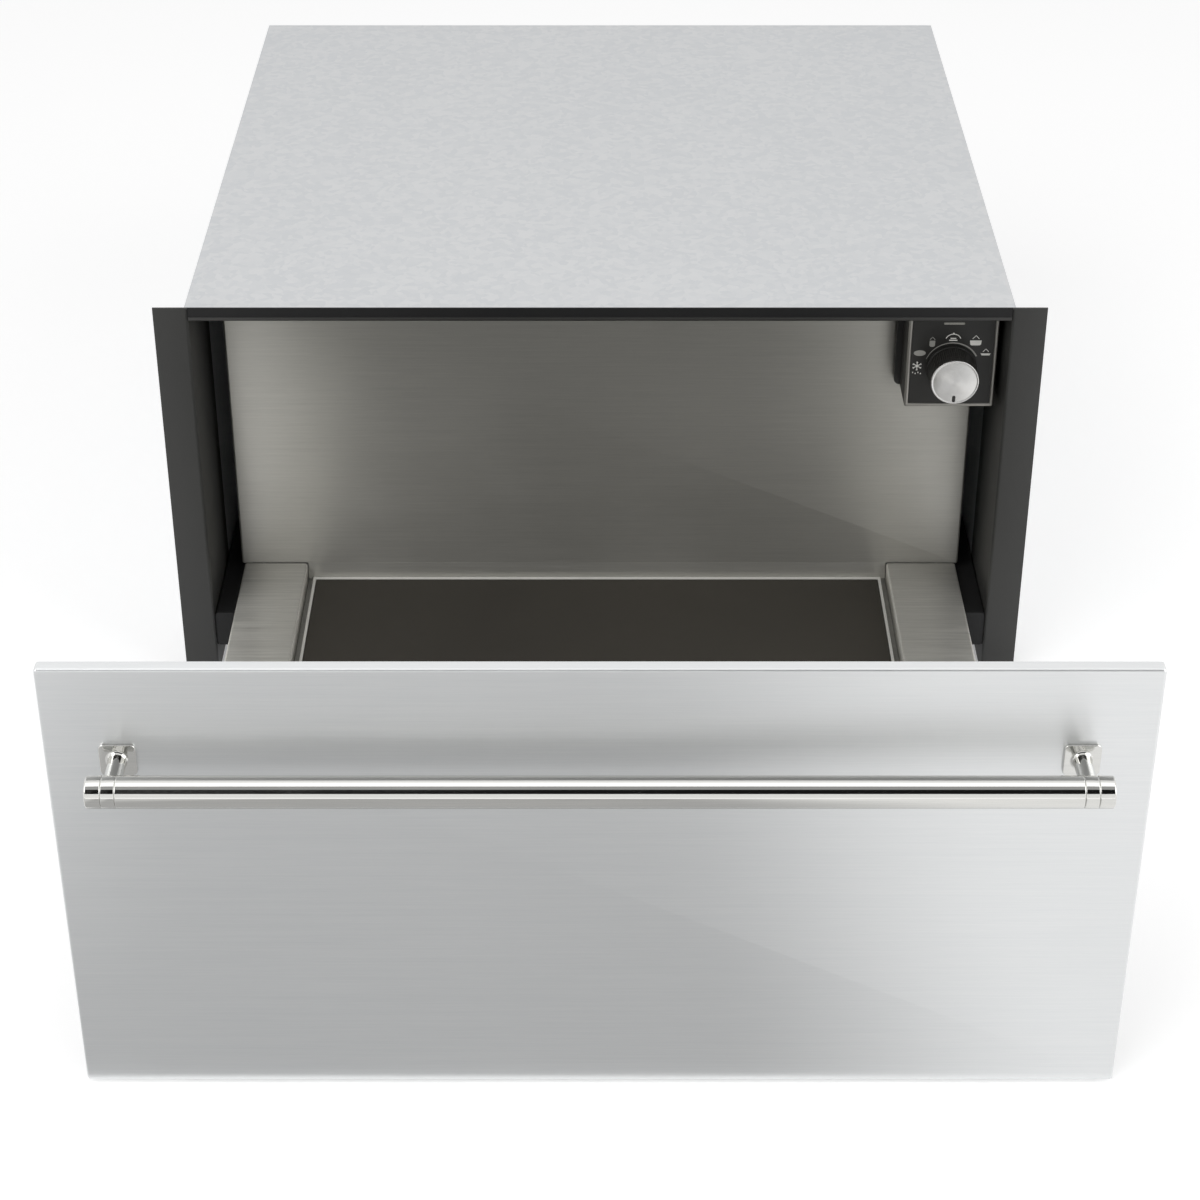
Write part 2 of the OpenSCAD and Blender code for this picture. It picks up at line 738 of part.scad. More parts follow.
module control_hanger() color([0.22, 0.22, 0.23]) {
  x0 = box_x0 - hanger_over;
  x1 = box_x1 + box_gap / 2;
  plate_y(hanger_y, hanger_y + hanger_t) {
    translate([x0 + hanger_r, box_z + 1]) square([x1 - x0 - 2 * hanger_r, 2 * hanger_r]);
    translate([x0, box_z + 1 + hanger_r]) square([x1 - x0, housing_h - sheet_t - box_z - 1 - hanger_r]);
    for (x = [x0 + hanger_r, x1 - hanger_r])
      translate([x, box_z + 1 + hanger_r]) circle(r = hanger_r);
  }
  block([x0, hanger_y - hanger_l, housing_h - 2 * sheet_t],
        [x1, hanger_y + eps, housing_h - sheet_t]);
}

module control_box() color([0.14, 0.14, 0.15]) difference() {
  block([box_x0, shell_y, box_z], [box_x1, hanger_y, box_top]);
  block([box_x0 + box_wall, shell_y - 1, box_z + box_wall],
        [box_x1 - box_wall, hanger_y + 1, box_top - box_wall]);
}

module control_bezel() color([0.7, 0.7, 0.7]) difference() {
  block([box_x0, fascia_y - bezel_up, box_z], [box_x1, shell_y, box_top]);
  block([box_x0 + bezel_w, fascia_y - 2, box_z + bezel_w],
        [box_x1 - bezel_w, shell_y + 1, box_top - bezel_w]);
}

module control_fascia() color([0.12, 0.12, 0.13]) difference() {
  block([box_x0 + bezel_w, fascia_y, box_z + bezel_w],
        [box_x1 - bezel_w, shell_y, box_top - bezel_w]);
  rod_y(bushing_d / 2 + screw_gap, fascia_y - 1, shell_y + 1, knob_x, knob_z);
  plate_y(fascia_y - 1, shell_y + 1)
    translate([knob_x, housing_h - lamp_drop])
      square([lamp_w + 2 * screw_gap, lamp_h + 2 * screw_gap], center = true);
}

module indicator_window() color([0.9, 0.55, 0.2]) {
  plate_y(fascia_y - 0.2, shell_y + eps)
    translate([knob_x, housing_h - lamp_drop]) square([lamp_w, lamp_h], center = true);
  plate_y(shell_y, shell_y + lamp_d)
    translate([knob_x, housing_h - lamp_drop])
      square([lamp_w + 2 * lamp_lip, lamp_h + 2 * lamp_lip], center = true);
}

knob_y = fascia_y - knob_gap;

module rotary_switch() color([0.82, 0.8, 0.74]) difference() {
  union() {
    plate_y(shell_y, shell_y + switch_d)
      translate([knob_x, knob_z]) round_rect(switch_w, switch_w, 2);
    rod_y(bushing_d / 2, fascia_y - 0.1, shell_y + 1, knob_x, knob_z);
  }
  rod_y(spindle_d / 2 + running, fascia_y - 1, shell_y + switch_d + 1, knob_x, knob_z);
}

// ---- Knob ----

knob_face = frame_y + knob_set;
knob_r = knob_d / 2;
spindle_tip = knob_face + cap_t + spindle_set;

module knob_body() color([0.15, 0.15, 0.16]) difference() {
  union() {
    plate_y(knob_face + cap_t, knob_y) translate([knob_x, knob_z])
      polygon([for (n = [0 : 2 * rib_count - 1])
               (knob_r - (n % 2) * rib_d) * [cos(n * 180 / rib_count), sin(n * 180 / rib_count)]]);
    rod_y(knob_r + skirt_over, knob_y - skirt_h, knob_y, knob_x, knob_z);
  }
  rod_y(spindle_d / 2 + running, spindle_tip, knob_y + 1, knob_x, knob_z);
}

module index_outline() {
  translate([knob_x, knob_z - knob_r + index_set + index_l / 2]) rotate([0, 0, 90]) slot(index_l, index_w);
}

module knob_cap() color([0.8, 0.8, 0.8]) difference() {
  rod_y(knob_r - rib_d, knob_face, knob_face + cap_t, knob_x, knob_z);
  plate_y(knob_face - 1, knob_face + cap_t + 1) index_outline();
}

module knob_index() color([0.06, 0.06, 0.06])
  plate_y(knob_face - 0.1, knob_face + cap_t) index_outline();

module switch_spindle() color([0.76, 0.74, 0.7])
  rod_y(spindle_d / 2, spindle_tip, shell_y + switch_d + 2, knob_x, knob_z);

// ---- Mains inlet ----

nut_r = nut_w / 2 / cos(30);
cover_x0 = -gland_x - nut_r - slide_gap - cover_wall;
cover_y0 = rear_y - sheet_t - cover_d;

module junction_cover() color([0.16, 0.16, 0.17]) difference() {
  block([cover_x0, cover_y0, sheet_t], [cover_x0 + cover_w, rear_y - sheet_t, cover_h]);
  block([cover_x0 + cover_wall, cover_y0 + cover_wall, 0],
        [cover_x0 + cover_w - cover_wall, rear_y, cover_h - cover_wall]);
}

// The terminal block stands beside the cable's way in
block_x0 = -gland_x + nut_r + slide_gap;
block_y0 = cover_y0 + cover_wall + slide_gap;
pole_count = 3;

module terminal_block() color([0.88, 0.87, 0.83]) difference() {
  block([block_x0, block_y0, sheet_t],
        [block_x0 + pole_count * pole_w, block_y0 + block_d, block_h + sheet_t]);
  for (n = [0 : pole_count - 1])
    translate([block_x0 + (n + 0.5) * pole_w, block_y0 + block_d / 2, block_h - pole_w / 2])
      cylinder(d = pole_w / 2, h = pole_w);
}

module hex_y(w, y0, y1) {
  translate([-gland_x, y1, gland_z]) rotate([90, 0, 0])
    cylinder(d = w / cos(30), h = y1 - y0, $fn = 6);
}

module cable_gland() color([0.1, 0.1, 0.1]) difference() {
  union() {
    hex_y(nut_w, rear_y, rear_y + nut_h);
    rod_y(thread_d / 2, rear_y - thread_l, rear_y + gland_l - dome_l + eps, -gland_x, gland_z);
    rod_y(thread_d / 2 + 1, rear_y + gland_l - dome_l, rear_y + gland_l, -gland_x, gland_z);
    hex_y(nut_w, rear_y - sheet_t - nut_h, rear_y - sheet_t);
  }
  rod_y(cable_d / 2, rear_y - thread_l - 1, rear_y + gland_l + 1, -gland_x, gland_z);
}

// ---- What is drawn ----

frame_post(-1);  // frame_post_left
frame_post(1);  // frame_post_right
frame_rail();
side_panel(-1);  // side_panel_left
side_panel(1);  // side_panel_right
top_cover();
base_plate();
rear_cover();
rear_screws();
runner_bracket(-1);  // runner_bracket_left
runner_bracket(1);  // runner_bracket_right
rail_outer(-1);  // rail_outer_left
rail_outer(1);  // rail_outer_right
control_hanger();
control_box();
control_fascia();
control_bezel();
indicator_window();
rotary_switch();
junction_cover();
terminal_block();
cable_gland();
rail_middle(-1);  // rail_middle_left
rail_middle(1);  // rail_middle_right
cage_outer(-1);  // ball_cage_outer_left
cage_outer(1);  // ball_cage_outer_right
cage_inner(-1);  // ball_cage_inner_left
cage_inner(1);  // ball_cage_inner_right
front_skin();
front_filler();
front_backing();
front_buffers();
front_screws();
handle_bar();
handle_bracket(-1);  // handle_bracket_left
handle_bracket(1);  // handle_bracket_right
handle_cap(-1);  // handle_cap_left
handle_cap(1);  // handle_cap_right
handle_plates();
handle_screws();
base_pan();
rim(-1);  // rim_left
rim(1);  // rim_right
back_wall();
floor_plate();
floor_trim();
floor_mat();
heating_element();
insulation_pad();
limit_thermostat();
rail_inner(-1);  // rail_inner_left
rail_inner(1);  // rail_inner_right
knob_body();
knob_cap();
knob_index();
switch_spindle();
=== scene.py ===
import math

import bmesh
import bpy
import numpy as np
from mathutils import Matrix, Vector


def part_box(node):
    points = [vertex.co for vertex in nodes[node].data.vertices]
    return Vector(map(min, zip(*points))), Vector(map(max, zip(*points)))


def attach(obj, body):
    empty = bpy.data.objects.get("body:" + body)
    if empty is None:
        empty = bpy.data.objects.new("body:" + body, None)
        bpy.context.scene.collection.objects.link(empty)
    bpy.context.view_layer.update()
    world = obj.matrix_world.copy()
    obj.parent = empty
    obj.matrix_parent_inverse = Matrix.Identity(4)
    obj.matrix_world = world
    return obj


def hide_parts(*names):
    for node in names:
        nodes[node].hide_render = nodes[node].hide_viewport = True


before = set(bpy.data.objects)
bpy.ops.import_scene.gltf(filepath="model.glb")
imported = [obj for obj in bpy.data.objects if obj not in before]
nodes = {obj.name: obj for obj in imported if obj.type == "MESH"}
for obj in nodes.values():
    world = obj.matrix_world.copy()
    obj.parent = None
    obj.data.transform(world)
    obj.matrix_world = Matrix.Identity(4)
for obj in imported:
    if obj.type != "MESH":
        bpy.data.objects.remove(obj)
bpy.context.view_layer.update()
mm = 0.001
print("frame loaded with", len(nodes), "CAD nodes")


# small helpers that build shader nodes

def addNode(tree, kind, inputs=None, **settings):
    # one shader node; an input takes a plain value or another node's output
    made = tree.nodes.new(kind)
    for name, value in settings.items():
        setattr(made, name, value)
    for name, value in (inputs or {}).items():
        socket = made.inputs[name]
        if isinstance(value, bpy.types.NodeSocket):
            tree.links.new(value, socket)
        else:
            socket.default_value = value
    return made


def mathNode(tree, operation, a, b=0.0, c=0.0):
    made = tree.nodes.new("ShaderNodeMath")
    made.operation = operation
    for socket, value in zip(made.inputs, (a, b, c)):
        if isinstance(value, bpy.types.NodeSocket):
            tree.links.new(value, socket)
        else:
            socket.default_value = value
    return made.outputs[0]


def newGroup(name, inputs, outputs):
    # inputs are default values by name, outputs are names of float masks
    group = bpy.data.node_groups.new(name, "ShaderNodeTree")
    for label, value in inputs.items():
        kind = "NodeSocketVector" if isinstance(value, tuple) else "NodeSocketFloat"
        group.interface.new_socket(label, in_out="INPUT", socket_type=kind).default_value = value
    for label in outputs:
        group.interface.new_socket(label, in_out="OUTPUT", socket_type="NodeSocketFloat")
    return group, group.nodes.new("NodeGroupInput"), group.nodes.new("NodeGroupOutput")


def objectPlace(tree):
    return addNode(tree, "ShaderNodeTexCoord").outputs["Object"]


def vectorNode(tree, operation, inputs):
    return addNode(tree, "ShaderNodeVectorMath", inputs, operation=operation).outputs[0]


def lengthOf(tree, vector):
    return addNode(tree, "ShaderNodeVectorMath", {0: vector}, operation="LENGTH").outputs["Value"]


def noiseAt(tree, place, scale, detail=2.0, roughness=0.55):
    return addNode(tree, "ShaderNodeTexNoise",
                   {"Vector": place, "Scale": scale, "Detail": detail,
                    "Roughness": roughness}).outputs["Fac"]


def blend(tree, first, second, share):
    # a share of the first mask and the rest of the second
    return mathNode(tree, "MULTIPLY_ADD", first, share, mathNode(tree, "MULTIPLY", second, 1 - share))


def spread(tree, mask, low, high):
    # low becomes 0 and high becomes 1
    return addNode(tree, "ShaderNodeMapRange",
                   {"Value": mask, "From Min": low, "From Max": high}).outputs["Result"]


def sendOut(group, out, masks):
    for name, mask in masks.items():
        group.links.new(mask, out.inputs[name])
    return group


def makeGrainGroup():
    # streaks: noise drawn out along one way, in two lengths, and a slow cloud for the whole sheet
    group, given, out = newGroup(
        "sheetGrain", {"Stretch": (60, 2600, 2600), "Cloud Scale": 5.0}, ["Streak", "Height", "Cloud"])
    place = objectPlace(group)
    drawn = vectorNode(group, "MULTIPLY", {0: place, 1: given.outputs["Stretch"]})
    fine = noiseAt(group, drawn, 1.0, 3.0, 0.7)
    coarse = noiseAt(group, drawn, 0.22, 2.0, 0.5)
    return sendOut(group, out, {"Streak": blend(group, fine, coarse, 0.62),
                                "Height": blend(group, fine, coarse, 0.8),
                                "Cloud": noiseAt(group, place, given.outputs["Cloud Scale"], 2.0, 0.45)})


def makePebbleGroup():
    # the skin of powder paint, moulded plastic and rubber: small cells with a fine noise on top
    group, given, out = newGroup(
        "pebbleSkin", {"Scale": 1200.0, "Cloud Scale": 7.0}, ["Speckle", "Height", "Cloud"])
    place, scale = objectPlace(group), given.outputs["Scale"]
    cells = addNode(group, "ShaderNodeTexVoronoi", {"Vector": place, "Scale": scale}).outputs["Distance"]
    fine = noiseAt(group, place, mathNode(group, "MULTIPLY", scale, 1.7), 2.0, 0.6)
    return sendOut(group, out, {"Speckle": fine, "Height": blend(group, cells, fine, 0.7),
                                "Cloud": noiseAt(group, place, given.outputs["Cloud Scale"], 3.0, 0.5)})


def makeSpangleGroup():
    # zinc crystals: each cell has its own shade, and a fine noise runs over all of them
    group, given, out = newGroup(
        "zincSpangle", {"Scale": 85.0, "Cloud Scale": 6.0}, ["Flake", "Height", "Cloud"])
    place = objectPlace(group)
    bent = addNode(group, "ShaderNodeTexNoise", {"Vector": place, "Scale": 40.0}).outputs["Color"]
    moved = vectorNode(group, "MULTIPLY_ADD", {0: bent, 1: (0.012, 0.012, 0.012), 2: place})
    cells = addNode(group, "ShaderNodeTexVoronoi", {"Vector": moved, "Scale": given.outputs["Scale"]})
    shade = addNode(group, "ShaderNodeSeparateColor", {"Color": cells.outputs["Color"]}).outputs["Red"]
    fine = noiseAt(group, place, 900.0, 2.0, 0.6)
    return sendOut(group, out, {"Flake": blend(group, shade, fine, 0.7),
                                "Height": blend(group, shade, fine, 0.5),
                                "Cloud": noiseAt(group, place, given.outputs["Cloud Scale"], 2.0, 0.5)})


def makeHandlingGroup():
    # marks of use: soft smears from hands, and sparse thin scratches drawn out two ways
    group, given, out = newGroup("handlingMarks", {"Smear Scale": 14.0}, ["Smear", "Scratch"])
    place = objectPlace(group)
    smear = spread(group, noiseAt(group, place, given.outputs["Smear Scale"], 4.0, 0.55), 0.48, 0.74)
    scratches = []
    for turn in (0.5, -0.9):
        turned = addNode(group, "ShaderNodeVectorRotate",
                         {"Vector": place, "Rotation": (turn, turn * 0.7, turn * 1.3)},
                         rotation_type="EULER_XYZ").outputs[0]
        drawn = vectorNode(group, "MULTIPLY", {0: turned, 1: (14.0, 900.0, 900.0)})
        scratches.append(spread(group, noiseAt(group, drawn, 1.0, 1.0, 0.5), 0.70, 0.78))
    return sendOut(group, out, {"Smear": smear,
                                "Scratch": mathNode(group, "MAXIMUM", scratches[0], scratches[1])})


def makeSpunGroup():
    # a spun disc: fine rings by distance from the centre, and a slow cloud
    group, given, out = newGroup(
        "spunDisc", {"Centre": (0, 0, 0), "Rings": 2600.0}, ["Ring", "Height", "Cloud"])
    place = objectPlace(group)
    off = vectorNode(group, "SUBTRACT", {0: place, 1: given.outputs["Centre"]})
    parts = addNode(group, "ShaderNodeSeparateXYZ", {0: off}).outputs
    flat = addNode(group, "ShaderNodeCombineXYZ", {"X": parts["X"], "Y": parts["Z"]}).outputs[0]
    reach = mathNode(group, "MULTIPLY", lengthOf(group, flat), given.outputs["Rings"])
    ring = addNode(group, "ShaderNodeTexNoise", {"W": reach, "Detail": 2.0},
                   noise_dimensions="1D").outputs["Fac"]
    return sendOut(group, out, {"Ring": ring, "Height": ring,
                                "Cloud": noiseAt(group, place, 60.0, 2.0, 0.5)})


skinGroups = {"grain": makeGrainGroup(), "pebble": makePebbleGroup(),
              "spangle": makeSpangleGroup(), "spun": makeSpunGroup()}
handlingGroup = makeHandlingGroup()


def placeGroup(tree, group, values):
    made = tree.nodes.new("ShaderNodeGroup")
    made.node_tree = group
    for name, value in values.items():
        made.inputs[name].default_value = value
    return made.outputs


def linear(level):
    # a screen level of 0..255, as light
    part = level / 255
    return part / 12.92 if part <= 0.04045 else ((part + 0.055) / 1.055) ** 2.4


def colour(levels):
    return (*[linear(v) for v in levels], 1.0)


def makeFinish(name, look):
    # a Principled surface: its colour, gloss and relief all follow the masks of one skin group
    material = bpy.data.materials.new(name)
    material.use_nodes = True
    tree = material.node_tree
    shader = tree.nodes["Principled BSDF"]
    skin = next(skin for skin in skinGroups if skin in look)
    tone, height, cloud = placeGroup(tree, skinGroups[skin], look[skin])
    marks = placeGroup(tree, handlingGroup, {})
    mask = spread(tree, blend(tree, cloud, tone, look.get("cloud", 0.3)), 0.3, 0.7)
    mixed = addNode(tree, "ShaderNodeMix", data_type="RGBA")
    tree.links.new(mask, mixed.inputs["Factor"])
    mixed.inputs["A"].default_value = colour(look["dark"])
    mixed.inputs["B"].default_value = colour(look["light"])
    tree.links.new(mixed.outputs["Result"], shader.inputs["Base Color"])
    low, high = look["roughness"]
    rough = mathNode(tree, "MULTIPLY_ADD", mask, high - low, low)
    rough = mathNode(tree, "MULTIPLY_ADD", marks["Smear"], look.get("smear", 0.05), rough)
    rough = mathNode(tree, "MULTIPLY_ADD", marks["Scratch"], look.get("scratch", 0.05), rough)
    tree.links.new(rough, shader.inputs["Roughness"])
    strength, depth = look["relief"]
    bump = addNode(tree, "ShaderNodeBump", {"Strength": strength, "Distance": depth * mm, "Height": height})
    tree.links.new(bump.outputs[0], shader.inputs["Normal"])
    shader.inputs["Metallic"].default_value = look.get("metallic", 0.0)
    for socket, value in look.get("shader", {}).items():
        shader.inputs[socket].default_value = value
    if "drawnRound" in look:
        # the highlight is drawn out round this axis, across the grain
        tangent = addNode(tree, "ShaderNodeTangent", direction_type="RADIAL", axis=look["drawnRound"])
        tree.links.new(tangent.outputs[0], shader.inputs["Tangent"])
    return material


knobMiddle = tuple(np.mean(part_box("knob_cap"), axis=0).tolist())
# each look names its skin group with that group's values; dark and light are screen levels,
# the roughness runs from the dark to the light, and relief is a strength and a depth in mm
looks = {
    "front_steel": {"grain": {"Stretch": (40, 3400, 3400), "Cloud Scale": 3.0},
                    "dark": (224, 226, 227), "light": (234, 235, 235), "cloud": 0.25, "metallic": 1.0,
                    "roughness": (0.3, 0.38), "relief": (0.1, 0.01), "smear": 0.02, "scratch": 0.02,
                    "shader": {"Anisotropic": 0.75}, "drawnRound": "X"},
    "inner_steel": {"grain": {"Stretch": (50, 3000, 3000), "Cloud Scale": 6.0},
                    "dark": (174, 173, 167), "light": (198, 196, 189), "metallic": 0.85,
                    "roughness": (0.36, 0.46), "relief": (0.2, 0.02),
                    "shader": {"Anisotropic": 0.85}, "drawnRound": "X"},
    "handle_chrome": {"grain": {"Stretch": (30, 1500, 1500), "Cloud Scale": 9.0},
                      "dark": (212, 212, 209), "light": (226, 225, 221), "metallic": 1.0,
                      "roughness": (0.05, 0.08), "relief": (0.02, 0.01), "smear": 0.03},
    "frame_black": {"pebble": {"Scale": 1500.0, "Cloud Scale": 5.0},
                    "dark": (43, 43, 42), "light": (55, 55, 53), "cloud": 0.6,
                    "roughness": (0.36, 0.48), "relief": (0.18, 0.03), "smear": 0.08},
    # a darker copy of the frame's paint: painted shade on the top rail's face and on the runner brackets
    "rail_black": {"pebble": {"Scale": 1500.0, "Cloud Scale": 5.0},
                   "dark": (26, 26, 27), "light": (34, 34, 34), "cloud": 0.6,
                   "roughness": (0.36, 0.48), "relief": (0.18, 0.03), "smear": 0.08,
                   "shader": {"Specular IOR Level": 0.25}},
    "zinc_steel": {"spangle": {"Scale": 210.0, "Cloud Scale": 6.0},
                   "dark": (209, 211, 213), "light": (218, 219, 220),
                   "metallic": 0.15, "roughness": (0.58, 0.72), "relief": (0.1, 0.01),
                   "shader": {"Specular IOR Level": 0.3}},
    "runner_steel": {"grain": {"Stretch": (1600, 40, 1600), "Cloud Scale": 8.0},
                     "dark": (166, 168, 170), "light": (190, 191, 193), "metallic": 1.0,
                     "roughness": (0.24, 0.36), "relief": (0.15, 0.02)},
    "screw_steel": {"pebble": {"Scale": 2500.0, "Cloud Scale": 200.0},
                    "dark": (176, 176, 174), "light": (206, 205, 202), "metallic": 1.0,
                    "roughness": (0.22, 0.36), "relief": (0.1, 0.01)},
    "cage_brass": {"grain": {"Stretch": (1400, 50, 1400), "Cloud Scale": 30.0},
                   "dark": (170, 140, 84), "light": (204, 176, 116), "metallic": 1.0,
                   "roughness": (0.25, 0.4), "relief": (0.12, 0.02)},
    "black_plastic": {"pebble": {"Scale": 1800.0, "Cloud Scale": 20.0},
                      "dark": (27, 27, 25), "light": (36, 35, 32), "cloud": 0.4,
                      "roughness": (0.34, 0.5), "relief": (0.25, 0.03), "smear": 0.08},
    "pale_plastic": {"pebble": {"Scale": 1600.0, "Cloud Scale": 25.0},
                     "dark": (206, 202, 190), "light": (222, 219, 208), "roughness": (0.4, 0.55),
                     "relief": (0.15, 0.02)},
    "lamp_plastic": {"pebble": {"Scale": 900.0, "Cloud Scale": 60.0},
                     "dark": (158, 157, 150), "light": (182, 180, 172), "roughness": (0.2, 0.32),
                     "relief": (0.06, 0.01)},
    "bezel_metal": {"grain": {"Stretch": (80, 1800, 80), "Cloud Scale": 20.0},
                    "dark": (146, 144, 139), "light": (168, 166, 160), "metallic": 0.8,
                    "roughness": (0.26, 0.38), "relief": (0.12, 0.01)},
    "knob_aluminium": {"spun": {"Centre": knobMiddle},
                       "dark": (206, 205, 203), "light": (232, 231, 229), "metallic": 1.0,
                       "roughness": (0.24, 0.3), "relief": (0.05, 0.01), "smear": 0.0, "scratch": 0.0,
                       "shader": {"Anisotropic": 0.85}, "drawnRound": "Y"},
    "floor_aluminium": {"grain": {"Stretch": (60, 1800, 1800), "Cloud Scale": 9.0},
                        "dark": (150, 150, 148), "light": (178, 178, 176), "metallic": 1.0,
                        "roughness": (0.34, 0.46), "relief": (0.15, 0.02)},
    "mat_rubber": {"pebble": {"Scale": 900.0, "Cloud Scale": 4.0},
                   "dark": (38, 34, 28), "light": (53, 49, 41), "cloud": 0.6,
                   "roughness": (0.55, 0.7), "relief": (0.35, 0.06)},
    "black_rubber": {"pebble": {"Scale": 1400.0, "Cloud Scale": 30.0},
                     "dark": (28, 28, 28), "light": (38, 38, 37), "roughness": (0.6, 0.78),
                     "relief": (0.3, 0.03)},
    "filler_board": {"grain": {"Stretch": (220, 500, 500), "Cloud Scale": 18.0},
                     "dark": (198, 186, 160), "light": (224, 214, 190), "roughness": (0.8, 0.95),
                     "relief": (0.4, 0.08)},
    "wool": {"grain": {"Stretch": (260, 420, 900), "Cloud Scale": 25.0},
             "dark": (190, 170, 110), "light": (226, 208, 150), "roughness": (0.85, 1.0),
             "relief": (0.8, 0.4)},
    "heater_steel": {"grain": {"Stretch": (40, 1300, 1300), "Cloud Scale": 14.0},
                     "dark": (84, 80, 76), "light": (120, 112, 104), "metallic": 0.9,
                     "roughness": (0.36, 0.52), "relief": (0.2, 0.03)},
    "terminal_ceramic": {"pebble": {"Scale": 800.0, "Cloud Scale": 40.0},
                         "dark": (218, 214, 204), "light": (236, 233, 225), "roughness": (0.18, 0.34),
                         "relief": (0.08, 0.02)},
    "trim_aluminium": {"grain": {"Stretch": (900, 900, 1800), "Cloud Scale": 20.0},
                       "dark": (216, 215, 210), "light": (232, 231, 226), "metallic": 0.35,
                       "roughness": (0.3, 0.4), "relief": (0.08, 0.01)},
    # a lighter copy of the inner steel with a wider spread of tone: painted light on the rims
    "rim_steel": {"grain": {"Stretch": (42, 1900, 1900), "Cloud Scale": 6.0},
                  "dark": (172, 171, 165), "light": (214, 212, 205), "cloud": 0.25, "metallic": 0.85,
                  "roughness": (0.36, 0.46), "relief": (0.2, 0.02),
                  "shader": {"Anisotropic": 0.85}, "drawnRound": "X"},
    "print_arc": {"pebble": {"Scale": 2600.0, "Cloud Scale": 90.0},
                  "dark": (146, 145, 140), "light": (168, 167, 161), "roughness": (0.45, 0.6),
                  "relief": (0.1, 0.01)},
    "print_white": {"pebble": {"Scale": 2600.0, "Cloud Scale": 90.0},
                    "dark": (228, 227, 221), "light": (244, 243, 238), "roughness": (0.45, 0.6),
                    "relief": (0.1, 0.01)},
}
finishes = {name: makeFinish(name, look) for name, look in looks.items()}

for node in nodes.values():
    for place in node.material_slots:
        known = place.material.name.split(".")[0]
        place.material = finishes[known]
print("finishes made:", len(finishes))


# from here on every length is in millimetres, and newPiece turns it into metres

def boxOf(node):
    low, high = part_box(node)
    return np.array(low) / mm, np.array(high) / mm


sides = (("left", -1), ("right", 1))
across = {"x": [1, 2], "y": [0, 2], "z": [0, 1]}  # the two axes square to each axis


def middleOf(low, high, axis="y"):
    # a box seen along an axis: its middle and its half sizes
    low, high = np.array(low)[across[axis]], np.array(high)[across[axis]]
    return (low + high) / 2, (high - low) / 2


def spanOf(node):
    # how near to the middle plane a node comes, and how far out it goes
    low, high = boxOf(node)
    return min(abs(low[0]), abs(high[0])), max(abs(low[0]), abs(high[0]))


def gridFaces(rows, cols, wrapRows=False):
    # four-sided faces between the neighbours of a grid of points, whose columns close on themselves
    r = np.arange(rows if wrapRows else rows - 1)[:, None]
    c = np.arange(cols)[None, :]
    r2, c2 = (r + 1) % rows, (c + 1) % cols
    corners = np.broadcast_arrays(r * cols + c, r2 * cols + c, r2 * cols + c2, r * cols + c2)
    return np.stack(corners, -1).reshape(-1, 4).tolist()


def alongAxis(axis, along, first, second):
    # puts the length on its own axis and the two others in their order
    parts = {"x": (along, first, second), "y": (first, along, second), "z": (first, second, along)}
    return np.stack(np.broadcast_arrays(*parts[axis]), -1).reshape(-1, 3)


def loopShell(axis, along, first, second):
    # rows of closed loops, joined into a shell whose first and last loops are filled
    rows, cols = np.broadcast_shapes(along.shape, first.shape, second.shape)
    points = alongAxis(axis, along, first, second)
    faces = gridFaces(rows, cols)
    return points, faces + [list(range(cols)), list(range((rows - 1) * cols, rows * cols))]


def turned(axis, centre, profile, turns=72):
    # a point is at the profile's place along the axis, at its radius and at one of equal angles
    profile = np.array(profile, float)
    angle = np.linspace(0, 2 * np.pi, turns, endpoint=False)[None, :]
    along, radius = profile[:, :1], np.maximum(profile[:, 1:], 0.01)
    return loopShell(axis, along, centre[0] + radius * np.cos(angle), centre[1] + radius * np.sin(angle))


def roundRectLoop(halfW, halfH, radius, steps=7):
    # a rectangle's four quarter arcs in one loop; the straight sides are the steps between them
    quarter = np.linspace(0, np.pi / 2, steps)[None, :]
    angle = (quarter + (np.arange(4) * np.pi / 2)[:, None]).ravel()[None, :]
    signX = np.repeat([1, -1, -1, 1], steps)[None, :]
    signZ = np.repeat([1, 1, -1, -1], steps)[None, :]
    return (signX * (halfW - radius) + radius * np.cos(angle),
            signZ * (halfH - radius) + radius * np.sin(angle))


def moulded(axis, centre, halfW, halfH, corner, profile):
    # a round-cornered rectangle carried through a profile of (inset, place along the axis) pairs
    profile = np.array(profile, float)
    inset, along = profile[:, :1], profile[:, 1:]
    radius = np.maximum(corner - inset, 0.05)
    first, second = roundRectLoop(halfW - inset, halfH - inset, radius)
    return loopShell(axis, along, centre[0] + first, centre[1] + second)


def edgeArc(inset, along, radius, towards, steps=6):
    # a quarter arc from a side face over to an end face; towards is the end's direction
    a = np.linspace(0, np.pi / 2, steps)
    return np.stack([inset + radius * (1 - np.cos(a)), along - towards * radius * (1 - np.sin(a))], -1)


def shoulder(along, radius, edge, towards, steps=6):
    # the same arc for a turned piece, as rows of (place, radius)
    arc = edgeArc(0, along, edge, towards, steps)
    return np.stack([arc[:, 1], radius - arc[:, 0]], -1)


def rodRows(start, end, radius, startEdge, endEdge):
    # a rod from one end to the other, with round shoulders
    return np.concatenate([[[start, 0]], shoulder(start, radius, startEdge, -1, 5)[::-1],
                           shoulder(end, radius, endEdge, 1, 5), [[end, 0]]])


def filledBox(low, high, corner, edge, axis="y"):
    # a block as large as a box, with all its edges round
    start, end = low["xyz".index(axis)], high["xyz".index(axis)]
    centre, half = middleOf(low, high, axis)
    profile = np.concatenate([edgeArc(0, start, edge, -1)[::-1], edgeArc(0, end, edge, 1)])
    return moulded(axis, centre, *half, corner, profile)


def foldedTray(low, high, thick, edge, corner):
    # a sheet folded back on all four sides: out from the face to the rim, and back inside
    centre, half = middleOf(low, high)
    outer = edgeArc(0, low[1], edge, -1)
    inner = edgeArc(thick, low[1] + thick, edge - thick, -1)
    profile = np.concatenate([outer[::-1], [[0, high[1]], [thick, high[1]]], inner])
    return moulded("y", centre, *half, corner, profile)


